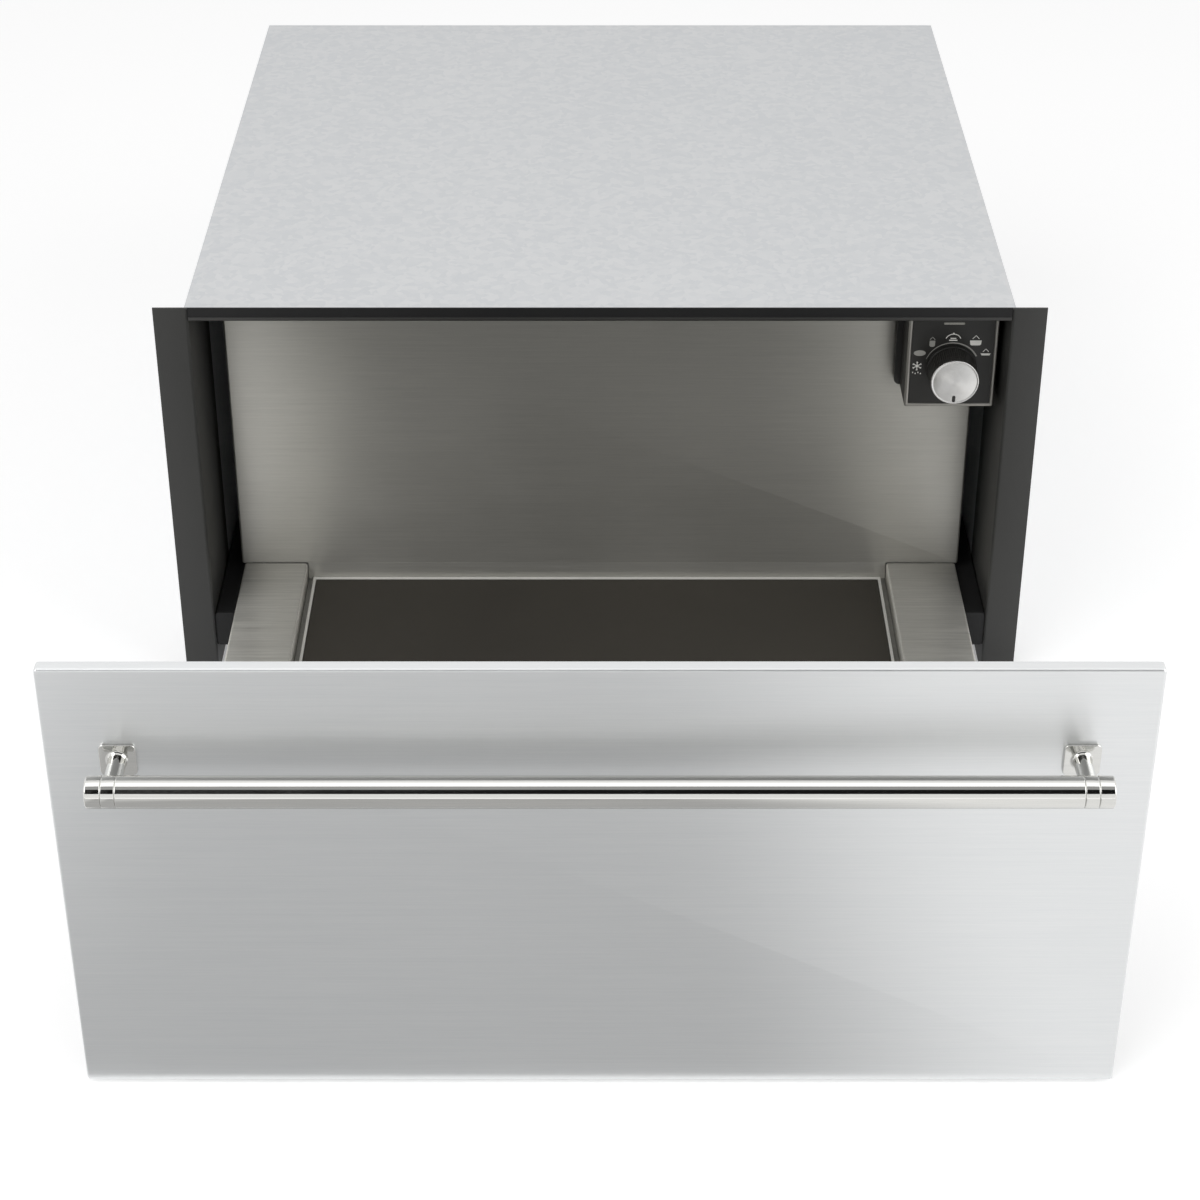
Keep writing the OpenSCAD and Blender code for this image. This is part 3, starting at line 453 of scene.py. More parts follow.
def filleted(points, radius, closed=False, steps=6):
    # a path with an arc at every corner, and the directions to its left; the arc starts at
    # radius * tan(turn / 2) before the corner and turns about a point at the radius to its side
    points = np.array(points, float)
    if closed:
        before, here, after = np.roll(points, 1, 0), points, np.roll(points, -1, 0)
    else:
        before, here, after = points[:-2], points[1:-1], points[2:]
    first = (here - before) / np.linalg.norm(here - before, axis=1, keepdims=True)
    second = (after - here) / np.linalg.norm(after - here, axis=1, keepdims=True)
    turn = np.arctan2(first[:, 0] * second[:, 1] - first[:, 1] * second[:, 0], (first * second).sum(1))
    radius = np.broadcast_to(np.asarray(radius, float), turn.shape)
    reach = radius * np.tan(np.abs(turn) / 2)
    angle = turn[:, None] * np.linspace(0, 1, steps)[None, :]
    way = np.stack([first[:, :1] * np.cos(angle) - first[:, 1:] * np.sin(angle),
                    first[:, :1] * np.sin(angle) + first[:, 1:] * np.cos(angle)], -1)
    left = np.stack([-way[..., 1], way[..., 0]], -1)
    side = np.sign(turn)[:, None, None] * radius[:, None, None]
    start = (here - first * reach[:, None])[:, None, :]
    arcs = (start + left[:, :1] * side - left * side).reshape(-1, 2)
    left = left.reshape(-1, 2)
    if closed:
        return arcs, left
    return (np.concatenate([points[:1], arcs, points[-1:]]),
            np.concatenate([left[:1], left, left[-1:]]))


def sheetOutline(middle, thick, bend, steps=5):
    # the cut edge of a bent sheet: its middle line, moved half the thickness to both sides
    line, left = filleted(middle, bend, steps=steps)
    return np.concatenate([line + left * thick / 2, (line - left * thick / 2)[::-1]])


def straight(axis, outline, start, end):
    # a closed outline carried straight along an axis
    return loopShell(axis, np.array([[start], [end]], float), outline[None, :, 0], outline[None, :, 1])


def bentSheet(axis, middle, thick, bend, start, end):
    return straight(axis, sheetOutline(middle, thick, bend), start, end)


def onSide(sign, shells):
    # shells are drawn on the right, and the left has their mirror image
    return shells if sign > 0 else [(points * np.array([-1, 1, 1]), faces) for points, faces in shells]


def newPiece(name, body, slot, shells, replaced=(), sharp=32, finish=None):
    # one object from closed shells; each is welded and turned outwards by itself
    mesh = bpy.data.meshes.new(name)
    whole = bmesh.new()
    for points, faces in shells:
        part = bpy.data.meshes.new(name + "Part")
        part.from_pydata((points * mm).tolist(), [], faces)
        shape = bmesh.new()
        shape.from_mesh(part)
        bmesh.ops.remove_doubles(shape, verts=shape.verts, dist=2e-7)
        bmesh.ops.recalc_face_normals(shape, faces=shape.faces)
        shape.to_mesh(part)
        shape.free()
        whole.from_mesh(part)
        bpy.data.meshes.remove(part)
    whole.to_mesh(mesh)
    whole.free()
    mesh.polygons.foreach_set("use_smooth", np.ones(len(mesh.polygons), bool))
    mesh.set_sharp_from_angle(angle=math.radians(sharp))
    mesh.materials.append(finishes[finish or slot])
    piece = bpy.data.objects.new(name, mesh)
    bpy.context.scene.collection.objects.link(piece)
    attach(piece, body)
    if replaced:
        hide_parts(*replaced)
    return piece


frontShape = {"corner": 2.0, "bend": 1.6, "sheet": 1.0}
frontLow, frontHigh = boxOf("front_skin")
newPiece("frontSkin", "drawer", "front_steel",
         [foldedTray(frontLow, frontHigh, frontShape["sheet"], frontShape["bend"], frontShape["corner"])],
         ["front_skin"])
print("drawer front made")


handleShape = {"edge": 0.55, "endEdge": 1.0, "postRoot": 4.6, "post": 5.0, "postFlare": 1.8, "postSunk": 0.3,
               "plateEdge": 0.5, "plateCorner": 3.0}
low, high = boxOf("handle_bar")
barAxis, barHalf = middleOf(low, high, "x")
tubeEnd, tubeEdge = high[0], handleShape["edge"]


def barRod(start, end, endEdge=tubeEdge):
    return turned("x", barAxis, rodRows(start, end, barHalf[1], tubeEdge, endEdge), 96)


newPiece("handleBar", "drawer", "handle_chrome", [barRod(-tubeEnd, tubeEnd)], ["handle_bar"])
plateLow, plateHigh = boxOf("handle_plates")
plateHalf = (plateHigh[2] - plateLow[2]) / 2
# rows of (place, radius): from the bar's middle to a flared foot that is sunk into the plate
post, flare = handleShape["post"], handleShape["postFlare"]
a = np.linspace(0, np.pi / 2, 7)
foot = np.stack([plateLow[1] - flare * (1 - np.sin(a)), post + flare * (1 - np.cos(a))], -1)
sunk = plateLow[1] + handleShape["postSunk"]
postRows = np.concatenate([[[barAxis[0], 0], [barAxis[0], handleShape["postRoot"]]], foot,
                           [[sunk, post + flare], [sunk, 0]]])
plates = []
for word, sign in sides:
    capIn, capOut = spanOf("handle_cap_" + word)
    postX = (tubeEnd + capIn) / 2
    bracket = [barRod(tubeEnd, capIn), turned("y", (postX, barAxis[1]), postRows, 48)]
    newPiece("handleBracket" + word.title(), "drawer", "handle_chrome", onSide(sign, bracket),
             ["handle_bracket_" + word])
    newPiece("handleCap" + word.title(), "drawer", "handle_chrome",
             onSide(sign, [barRod(capIn, capOut, handleShape["endEdge"])]), ["handle_cap_" + word])
    plates.append(filledBox((sign * postX - plateHalf, plateLow[1], barAxis[1] - plateHalf),
                            (sign * postX + plateHalf, plateHigh[1], barAxis[1] + plateHalf),
                            handleShape["plateCorner"], handleShape["plateEdge"]))
newPiece("handlePlates", "drawer", "handle_chrome", plates, ["handle_plates"])
print("handle made")


drawerShape = {"sheet": 1.0, "bend": 1.2, "rimLip": 5.0, "rimShelf": 10.0, "rimGap": 0.7,
               "wallEdge": 1.4, "wallCorner": 1.8, "tongueCorner": 0.2, "tongueEdge": 0.15,
               "matCorner": 1.0, "matEdge": 0.4,
               "trimSide": 2.0, "trimBack": 3.0, "trimCorner": 0.3, "trimEdge": 0.2}
sheet = drawerShape["sheet"]
for word, sign in sides:
    low, high = boxOf("rim_" + word)
    shelfX, outX = spanOf("rim_" + word)
    wallX, lipX = shelfX + drawerShape["rimShelf"] + sheet / 2, outX - sheet / 2
    lip, top, shelf = high[2] - drawerShape["rimLip"], high[2] - sheet / 2, low[2] + sheet / 2
    middle = [[lipX, lip], [lipX, top], [wallX, top], [wallX, shelf], [shelfX, shelf]]
    shell = bentSheet("y", middle, sheet, drawerShape["bend"], low[1], high[1] - drawerShape["rimGap"])
    # the rims have the lighter copy of the inner steel, as painted light
    newPiece("rim" + word.title(), "drawer", "inner_steel", onSide(sign, [shell]), ["rim_" + word],
             finish="rim_steel")

# the back wall is folded above the rims and has a flat tongue below them
low, high = boxOf("back_wall")
floorLow, floorHigh = boxOf("floor_plate")
wallBottom = boxOf("rim_left")[1][2] - sheet
wall = foldedTray((low[0], low[1], wallBottom), high, sheet, drawerShape["wallEdge"],
                  drawerShape["wallCorner"])
tongue = filledBox((floorLow[0], low[1], low[2]), (floorHigh[0], low[1] + sheet, wallBottom + sheet),
                   drawerShape["tongueCorner"], drawerShape["tongueEdge"])
newPiece("backWall", "drawer", "inner_steel", [wall, tongue], ["back_wall"])

mat = filledBox(*boxOf("floor_mat"), drawerShape["matCorner"], drawerShape["matEdge"], "z")
newPiece("floorMat", "drawer", "mat_rubber", [mat], ["floor_mat"])

low, high = boxOf("floor_trim")
side, back = drawerShape["trimSide"], high[1] - drawerShape["trimBack"]
strips = [filledBox((x0, y0, low[2]), (x1, y1, high[2]),
                    drawerShape["trimCorner"], drawerShape["trimEdge"], "z")
          for x0, x1, y0, y1 in ((low[0], low[0] + side, low[1], back),
                                 (high[0] - side, high[0], low[1], back),
                                 (low[0], high[0], back, high[1]))]
newPiece("floorTrim", "drawer", "inner_steel", strips, ["floor_trim"], finish="trim_aluminium")
print("drawer made")


frameShape = {"sheet": 1.2, "bend": 1.3, "cover": 1.0, "lip": 3.2, "lipStep": 0.35, "bracket": 1.2,
              "bracketBend": 1.4, "tabCorner": 3.0, "tabEdge": 0.4, "padSet": 50.0, "padLength": 30.0,
              "padCorner": 0.3, "padEdge": 0.2}
thick = frameShape["sheet"]
for word, sign in sides:
    low, high = boxOf("frame_post_" + word)
    inX, outX = spanOf("frame_post_" + word)
    middle = [[outX, low[1] + thick / 2], [inX + thick / 2, low[1] + thick / 2], [inX + thick / 2, high[1]]]
    coverUnder = high[2] - frameShape["cover"]  # the side return ends under the top cover
    flat = np.array([[inX, low[1]], [outX, low[1]], [outX, low[1] + thick], [inX, low[1] + thick]])
    shells = [bentSheet("z", middle, thick, frameShape["bend"], low[2], coverUnder),
              straight("z", flat, coverUnder, high[2])]
    newPiece("framePost" + word.title(), "housing", "frame_black", onSide(sign, shells),
             ["frame_post_" + word])

# the rail's face stands back above a rounded lip, and has the darker copy of the frame's paint as painted
# shade
low, high = boxOf("frame_rail")
railEnd = high[0]
lipTop, back = low[2] + frameShape["lip"], low[1] + frameShape["lipStep"]
upper = [[back, high[2]], [back, lipTop], [low[1] + thick, lipTop], [low[1] + thick, high[2]]]
newPiece("frameRail", "housing", "frame_black", [straight("x", np.array(upper), low[0], high[0])],
         ["frame_rail"], finish="rail_black")
lipY, lipZ = low[1] + thick / 2, low[2] + thick / 2
newPiece("frameRailLip", "housing", "frame_black",
         [bentSheet("x", [[lipY, lipTop], [lipY, lipZ], [high[1], lipZ]], thick, frameShape["bend"],
                    low[0], high[0])])

# an inverted channel under each runner, with a tab folded down over its open front; it has the darker copy
# of the frame's paint as painted shade
wall = frameShape["bracket"]
for word, sign in sides:
    low, high = boxOf("runner_bracket_" + word)
    inX, panelX = spanOf("rail_outer_" + word)[1], spanOf("runner_bracket_" + word)[1]
    innerWall, outerWall, top = inX + wall / 2, railEnd - wall / 2, high[2] - wall / 2
    middle = [[innerWall, low[2]], [innerWall, top], [outerWall, top], [outerWall, low[2]]]
    shells = [bentSheet("y", middle, wall, frameShape["bracketBend"], low[1] + wall, high[1]),
              filledBox((inX, low[1], low[2]), (railEnd, low[1] + wall, high[2]),
                        frameShape["tabCorner"], frameShape["tabEdge"])]
    for y in (low[1] + frameShape["padSet"], high[1] - 2 * frameShape["padLength"]):
        shells.append(filledBox((railEnd, y, low[2]), (panelX, y + frameShape["padLength"], high[2]),
                                frameShape["padCorner"], frameShape["padEdge"]))
    newPiece("runnerBracket" + word.title(), "housing", "frame_black", onSide(sign, shells),
             ["runner_bracket_" + word], finish="rail_black")
print("frame made")


# telescopic runners: three channels a side, one inside the other, with pressed dimples in their webs
runnerShape = {"wall": 1.2, "bend": 1.1, "dimple": 3.2, "dimpleRise": 0.2, "dimpleSunk": 0.1,
               "dimpleSet": 40.0, "dimples": 4}
runnerBody = {"outer": "housing", "middle": "middle_rails", "inner": "drawer"}
wall, dimpleSunk = runnerShape["wall"], runnerShape["dimpleSunk"]
a = np.linspace(0, np.pi / 2, 6)
for word, sign in sides:
    for member, bodyName in runnerBody.items():
        low, high = boxOf("rail_" + member + "_" + word)
        inX, outX = spanOf("rail_" + member + "_" + word)
        # the two outer members open inwards, the inner one outwards
        web, reach, facing = (inX, outX, 1) if member == "inner" else (outX, inX, -1)
        webX, bottom, top = web + facing * wall / 2, low[2] + wall / 2, high[2] - wall / 2
        middle = [[reach, bottom], [webX, bottom], [webX, top], [reach, top]]
        shells = [bentSheet("y", middle, wall, runnerShape["bend"], low[1], high[1])]
        # low domes on the web, where the member is riveted and stiffened
        root = (web if member == "middle" else web + facing * wall) - dimpleSunk
        dome = np.stack([root + (runnerShape["dimpleRise"] + dimpleSunk) * np.sin(a),
                         runnerShape["dimple"] * np.cos(a)], -1)
        dome = np.concatenate([[[root, 0]], dome])
        if member != "outer":
            for y in np.linspace(low[1] + runnerShape["dimpleSet"], high[1] - runnerShape["dimpleSet"],
                                 runnerShape["dimples"]):
                shells.append(turned("x", (y, (low[2] + high[2]) / 2), dome, 32))
        newPiece("rail" + member.title() + word.title(), bodyName, "runner_steel", onSide(sign, shells),
                 ["rail_" + member + "_" + word])
print("runners made")


# screws with a six-sided socket in a domed head
screwShape = {"shank": 2.0, "head": 4.0, "rise": 2.4, "seat": 0.1, "edge": 0.5, "crown": 0.15,
              "socket": 1.5, "socketDepth": 1.2}


def sixSided(angle):
    # the reach of a hexagon with a unit inner radius, by the angle
    part = np.mod(angle, np.pi / 3) - np.pi / 6
    return 1 / np.cos(part)


def socketScrew(centre, tip, seatY, turns=48):
    # rows of (place above the seat, radius): shank, head with a round shoulder, and down the socket
    angle = np.linspace(0, 2 * np.pi, turns, endpoint=False)[None, :]
    shank, head, seat = screwShape["shank"], screwShape["head"], screwShape["seat"]
    crown, bottom = screwShape["rise"] + screwShape["crown"], screwShape["rise"] - screwShape["socketDepth"]
    rows = np.concatenate([[[tip - seatY, 0.01], [tip - seatY, shank], [seat, shank], [seat, head]],
                           shoulder(screwShape["rise"], head, screwShape["edge"], 1, 5),
                           [[crown, head * 0.55], [crown, 0], [bottom, 0], [bottom, 0.01]]])
    radius = rows[:, 1:] + 0 * angle
    radius[-3:-1] = screwShape["socket"] * sixSided(angle)
    return loopShell("y", seatY + rows[:, :1] + 0 * angle,
                     centre[0] + radius * np.cos(angle), centre[1] + radius * np.sin(angle))


low, high = boxOf("rear_screws")
head = screwShape["head"]
screws = [socketScrew((x, z), low[1], high[1] - screwShape["rise"])
          for x in (low[0] + head, high[0] - head)
          for z in (low[2] + head, (low[2] + high[2]) / 2, high[2] - head)]
newPiece("rearScrews", "housing", "screw_steel", screws, ["rear_screws"])


# the mains cable's gland: threaded tube, a nut on each side of the sheet and a ribbed dome nut
glandShape = {"thread": 8.0, "pitch": 1.0, "groove": 0.3, "nutHigh": 4.0, "nutStep": 0.5, "nutCut": 0.6,
              "domeHigh": 8.0, "domeWall": 1.0, "domeStep": 0.4, "hole": 3.6, "ribs": 18, "ribDepth": 0.35,
              "domeRows": ((3, 0, 1), (2.2, 0.3, 0), (1, 1.2, 0), (0.2, 3, 0), (0, 4, 0))}
low, high = boxOf("cable_gland")
glandAxis, glandHalf = middleOf(low, high)
coverIn, coverOut = (edge[1] for edge in boxOf("rear_cover"))
threadR, nutR, nutHigh = glandShape["thread"], glandHalf[1], glandShape["nutHigh"]
domeStart, domeR = high[1] - glandShape["domeHigh"], threadR + glandShape["domeWall"]
step = glandShape["domeStep"]


def threaded(start, end):
    # V-shaped rings
    count = int((end - start) / glandShape["pitch"])
    t = np.arange(2 * count + 1)
    return np.stack([start + (end - start) * t / (2 * count), threadR - glandShape["groove"] * (t % 2),
                     0 * t, 0 * t], -1)


def nutRows(start):
    # a six-sided block with round-cut faces
    end, cut, inset = start + nutHigh, nutR - glandShape["nutCut"], glandShape["nutStep"]
    return [[start, cut, 0, 0], [start + inset, nutR, 1, 0], [end - inset, nutR, 1, 0], [end, cut, 0, 0]]


# rows of (place, radius, six-sidedness, rib), out over the tube and back through its hole;
# the dome's rows are given as (distance to the end, distance inside its full radius, rib)
rows = np.concatenate([threaded(low[1], coverIn - nutHigh), nutRows(coverIn - nutHigh),
                       [[coverIn, threadR, 0, 0], [coverOut, threadR, 0, 0]], nutRows(coverOut),
                       threaded(coverOut + nutHigh, domeStart),
                       [[domeStart, domeR - step, 0, 0], [domeStart + step, domeR, 0, 1]],
                       [[high[1] - below, domeR - inside, 0, rib]
                        for below, inside, rib in glandShape["domeRows"]],
                       [[high[1], glandShape["hole"], 0, 0], [low[1], glandShape["hole"], 0, 0]]])
angle = np.linspace(0, 2 * np.pi, glandShape["ribs"] * 8, endpoint=False)[None, :]
around = rows[:, 1:2] * (1 + rows[:, 2:3] * (sixSided(angle) - 1))
around -= rows[:, 3:4] * glandShape["ribDepth"] * (0.5 - 0.5 * np.cos(angle * glandShape["ribs"]))
points = alongAxis("y", rows[:, :1] + 0 * around, glandAxis[0] + around * np.cos(angle),
                   glandAxis[1] + around * np.sin(angle))
newPiece("cableGland", "housing", "black_plastic",
         [(points, gridFaces(len(rows), angle.shape[1], wrapRows=True))], ["cable_gland"])


# rubber buffers on the back of the front: round pads with a soft edge and a dished face
bufferShape = {"radius": 6.0, "edge": 0.7, "dish": 0.35, "rim": 0.05}
low, high = boxOf("front_buffers")
padR, dished = bufferShape["radius"], high[1] - bufferShape["dish"]
pad = np.concatenate([[[low[1], 0], [low[1], padR]], shoulder(high[1], padR, bufferShape["edge"], 1),
                      [[high[1] - bufferShape["rim"], padR * 0.6], [dished, padR * 0.4], [dished, 0]]])
pads = [turned("y", (x, z), pad, 48) for x in (low[0] + padR, high[0] - padR)
        for z in (low[2] + padR, high[2] - padR)]
newPiece("frontBuffers", "drawer", "black_rubber", pads, ["front_buffers"])
print("screws, gland and buffers made")


knobShape = {"ribs": 72, "ribDepth": 0.35, "skirt": 3.0, "skirtReach": 0.5, "skirtEdges": (0.5, 0.3),
             "capEdge": 0.35, "indexEdge": 0.08}
low, high = boxOf("knob_body")
knobAxis, knobHalf = middleOf(low, high)
knobR = knobHalf[1] - knobShape["skirtReach"]
bodyLength = high[1] - low[1] - knobShape["skirt"]
angle = np.linspace(0, 2 * np.pi, knobShape["ribs"] * 6, endpoint=False)[None, :]
rib = 0.5 - 0.5 * np.cos(angle * knobShape["ribs"])
# radius = the body's own radius less a cosine rib whose depth fades out at both ends;
# the stations are (twentieths of the body's length, change of radius, share of the rib's depth)
stations = np.array([[0.0, -0.9, 0], [0.25, -0.3, 0], [0.9, 0, 0.4], [1.6, 0, 1],
                     [14, 0, 1], [18.0, 0, 1], [19.5, 0, 0.6], [20.0, 0, 0]])
along = low[1] + stations[:, :1] / 20.0 * bodyLength
radius = knobR + stations[:, 1:2] - knobShape["ribDepth"] * stations[:, 2:] * rib
body = loopShell("y", along + 0 * radius, knobAxis[0] + radius * np.cos(angle),
                 knobAxis[1] + radius * np.sin(angle))
skirt = turned("y", knobAxis, rodRows(high[1] - knobShape["skirt"], high[1], knobHalf[1],
                                      *knobShape["skirtEdges"]), 96)
newPiece("knobBody", "knob", "black_plastic", [body, skirt], ["knob_body"])

# rows of (place, radius): the back, a round rim, a shallow groove inside it and a nearly flat face
low, high = boxOf("knob_cap")
face, capR = low[1], (high[2] - low[2]) / 2
groove = [[face + deep, capR - inside] for deep, inside in ((0, 1.0), (0.12, 1.25), (0.1, 1.6), (0.05, 2.2))]
cap = np.concatenate([[[high[1], 0], [high[1], capR]], shoulder(face, capR, knobShape["capEdge"], -1),
                      groove, [[face + 0.02, capR * 0.5], [face, 0.4], [face, 0]]])
newPiece("knobCap", "knob", "knob_aluminium", [turned("y", knobAxis, cap, 128)], ["knob_cap"])

low, high = boxOf("knob_index")
newPiece("knobIndex", "knob", "black_plastic",
         [filledBox(low, high, (high[0] - low[0]) / 2 - 0.01, knobShape["indexEdge"])], ["knob_index"])


controlShape = {"bezelShoulder": 0.9, "bezelCorner": 1.4, "boxCorner": 1.5, "boxEdge": 0.3,
                "lensHalfW": 7.0, "lensHalfH": 0.85, "lensDepth": 2.2, "lensCorner": 0.5, "lensEdge": 0.2}
low, high = boxOf("control_bezel")
fasciaLow = boxOf("control_fascia")[0]
centre, half = middleOf(low, high)
bezelW = fasciaLow[0] - low[0]
# a bead: up the outer side, over a round shoulder, across, over the inner shoulder and back down
outer = edgeArc(0, low[1], controlShape["bezelShoulder"], -1)
inner = np.stack([bezelW - outer[::-1, 0], outer[::-1, 1]], -1)
profile = np.concatenate([[[0, high[1]]], outer, inner, [[bezelW, high[1]]]])
inset, along = profile[:, :1], profile[:, 1:]
first, second = roundRectLoop(half[0] - inset, half[1] - inset,
                              np.maximum(controlShape["bezelCorner"] - inset, 0.2))
points = alongAxis("y", along, centre[0] + first, centre[1] + second)
newPiece("controlBezel", "housing", "bezel_metal",
         [(points, gridFaces(len(profile), first.shape[1], wrapRows=True))], ["control_bezel"])

newPiece("controlBox", "housing", "black_plastic",
         [filledBox(*boxOf("control_box"), controlShape["boxCorner"], controlShape["boxEdge"])],
         ["control_box"])

low, high = boxOf("indicator_window")
lensZ, lensHalfW, lensHalfH = (low[2] + high[2]) / 2, controlShape["lensHalfW"], controlShape["lensHalfH"]
newPiece("indicatorLens", "housing", "lamp_plastic",
         [filledBox((knobAxis[0] - lensHalfW, low[1], lensZ - lensHalfH),
                    (knobAxis[0] + lensHalfW, low[1] + controlShape["lensDepth"], lensZ + lensHalfH),
                    controlShape["lensCorner"], controlShape["lensEdge"])], ["indicator_window"])
print("control box made")


# the marks printed on the fascia, each drawn about its own middle
markShape = {"thick": 0.08, "step": 0.004, "sunk": 0.05, "arcRadius": 18.5, "arcFrom": 160, "arcTo": 27,
             "arcPoints": 60, "arcThin": 0.16, "arcWide": 0.52}


def stroke(path, halfWidth):
    # a line with its own half width at every point of its path
    path = np.array(path, float)
    way = np.gradient(path, axis=0)
    way /= np.linalg.norm(way, axis=1, keepdims=True)
    left = np.stack([-way[:, 1], way[:, 0]], -1)
    half = np.broadcast_to(np.asarray(halfWidth, float), len(path))[:, None]
    return np.concatenate([path + left * half, (path - left * half)[::-1]])


def arcPath(centre, radiusX, radiusZ, start, end, steps=20):
    a = np.radians(np.linspace(start, end, steps))
    return np.stack([centre[0] + radiusX * np.cos(a), centre[1] + radiusZ * np.sin(a)], -1)


def steam(x, z, size):
    # a small pointed wave, as heat rising
    t = np.linspace(0, 1, 12)
    return [stroke(np.stack([x + s * size * (1 - t) * 0.9, z + size * t], -1), 0.16 + 0.12 * (1 - t))
            for s in (-1, 1)]


def frostMark(x, z):
    # three crossed strokes with a short fork at each end, and four drops below
    lines = []
    for turn in np.radians([0, 60, 120]):
        way, side = np.array([np.sin(turn), np.cos(turn)]), np.array([np.cos(turn), -np.sin(turn)])
        t = np.linspace(-3.3, 3.3, 9)[:, None]
        lines.append(stroke(np.array([x, z]) + t * way, 0.27))
        for end in (-1, 1):
            tip, root = np.array([x, z]) + end * 3.1 * way, np.array([x, z]) + end * 2.3 * way
            lines.append(stroke(np.array([tip + 0.7 * side, root, tip - 0.7 * side]), 0.15))
    for dx, dz in ((-2.7, -4.9), (-0.9, -5.7), (0.9, -4.9), (2.7, -5.7)):
        lines.append(arcPath((x + dx, z + dz), 0.38, 0.55, 0, 342, 14))
    return lines


def loafMark(x, z):
    return [arcPath((x, z), 4.1, 2.1, 0, 348, 30)]


def cupMark(x, z):
    body = filleted([[x - 1.9, z + 2.2], [x - 1.9, z - 2.4], [x + 1.9, z - 2.4], [x + 1.9, z + 2.2]],
                    [0.1, 1.4, 1.4, 0.1], closed=True)[0]
    return [body] + steam(x, z + 3.0, 1.9)


def domeMark(x, z):
    t = np.linspace(-2.8, 2.8, 9)
    return [stroke(arcPath((x, z - 2.2), 5.2, 4.7, 18, 162, 26), 0.3),
            stroke(np.stack([x + t, z - 2.1 + 0 * t], -1), 0.42),
            stroke(np.stack([x + t * 0.7, z - 0.7 + 0 * t], -1), 0.34),
            arcPath((x, z + 3.0), 0.55, 0.55, 0, 342, 16)]


def potMark(x, z):
    body = filleted([[x - 4.0, z + 1.1], [x - 3.6, z - 2.6], [x + 3.6, z - 2.6], [x + 4.0, z + 1.1]],
                    [0.2, 1.2, 1.2, 0.2], closed=True)[0]
    return [body] + steam(x, z + 2.3, 2.5)


def dishMark(x, z):
    body = filleted([[x - 3.5, z], [x - 2.6, z - 1.5], [x + 2.6, z - 1.5], [x + 3.5, z]],
                    [0.15, 0.4, 0.4, 0.15], closed=True)[0]
    return [body] + steam(x, z + 1.3, 2.1)


# place round the knob as (angle, radius); the two marks on the left and the arc are printed grey
markPlaces = {"print_white": ((177.5, 23.4, frostMark), (90, 22.6, domeMark), (51.5, 24.6, potMark),
                              (25, 25.0, dishMark)),
              "print_arc": ((154, 24.6, loafMark), (128, 22.8, cupMark))}
marks = {}
for finish, places in markPlaces.items():
    marks[finish] = []
    for degrees, reach, drawn in places:
        at = math.radians(degrees)
        marks[finish] += drawn(knobAxis[0] + reach * math.cos(at), knobAxis[1] + reach * math.sin(at))
arc = arcPath(knobAxis, markShape["arcRadius"], markShape["arcRadius"], markShape["arcFrom"],
              markShape["arcTo"], markShape["arcPoints"])
marks["print_arc"].append(stroke(arc, np.linspace(markShape["arcThin"], markShape["arcWide"], len(arc))))
printFace, printBack = fasciaLow[1] - markShape["thick"], fasciaLow[1] + markShape["sunk"]
for name, finish in (("fasciaMarks", "print_white"), ("fasciaArc", "print_arc")):
    # each stroke is a trace thicker than the one before, so that where two cross no faces coincide
    newPiece(name, "housing", "lamp_plastic",
             [straight("y", outline, printFace - markShape["step"] * (n % 12), printBack)
              for n, outline in enumerate(marks[finish])], finish=finish, sharp=20)
print("marks made")


# floor, light and camera, in metres
studio = {"floorHalf": 20, "floorShade": 0.84, "nearLift": 0.33, "farLift": 0.5, "near": 1.2, "far": 3.0,
          "ambient": 0.6}
white = (1, 1, 1, 1)


def clearedTree(owner):
    owner.use_nodes = True
    owner.node_tree.nodes.clear()
    return owner.node_tree


def seenOrMirrored(tree):
    # 1 for what the camera, a mirror or a clear piece sees, and 0 for plain light
    seen = addNode(tree, "ShaderNodeLightPath").outputs
    return mathNode(tree, "MAXIMUM", seen["Is Camera Ray"],
                    mathNode(tree, "MAXIMUM", seen["Is Glossy Ray"], seen["Is Transmission Ray"]))


def stageSheet(name, corners, material):
    mesh = bpy.data.meshes.new(name)
    mesh.from_pydata(corners, [], [(0, 1, 2, 3)])
    mesh.materials.append(material)
    made = bpy.data.objects.new(name, mesh)
    bpy.context.scene.collection.objects.link(made)
    return made


paper = bpy.data.materials.new("studioPaper")
tree = clearedTree(paper)
matte = addNode(tree, "ShaderNodeBsdfDiffuse", {"Color": (*[studio["floorShade"]] * 3, 1)})
# the paper is lit from behind a little more away from the part, where the lamps don't reach
away = lengthOf(tree, objectPlace(tree))
glow = addNode(tree, "ShaderNodeMapRange",
               {"Value": away, "From Min": studio["near"], "From Max": studio["far"],
                "To Min": studio["nearLift"], "To Max": studio["farLift"]},
               interpolation_type="SMOOTHSTEP").outputs["Result"]
lift = addNode(tree, "ShaderNodeEmission",
               {"Color": white, "Strength": mathNode(tree, "MULTIPLY", seenOrMirrored(tree), glow)})
both = addNode(tree, "ShaderNodeAddShader", {0: matte.outputs[0], 1: lift.outputs[0]})
addNode(tree, "ShaderNodeOutputMaterial", {"Surface": both.outputs[0]})
far = studio["floorHalf"]
stageSheet("studioFloor", [(-far, -far, 0), (far, -far, 0), (far, far, 0), (-far, far, 0)], paper)

world = bpy.data.worlds.new("studioSky")
bpy.context.scene.world = world
tree = clearedTree(world)
strength = mathNode(tree, "MULTIPLY_ADD", seenOrMirrored(tree), 1 - studio["ambient"], studio["ambient"])
sky = addNode(tree, "ShaderNodeBackground", {"Color": white, "Strength": strength})
addNode(tree, "ShaderNodeOutputWorld", {"Surface": sky.outputs[0]})

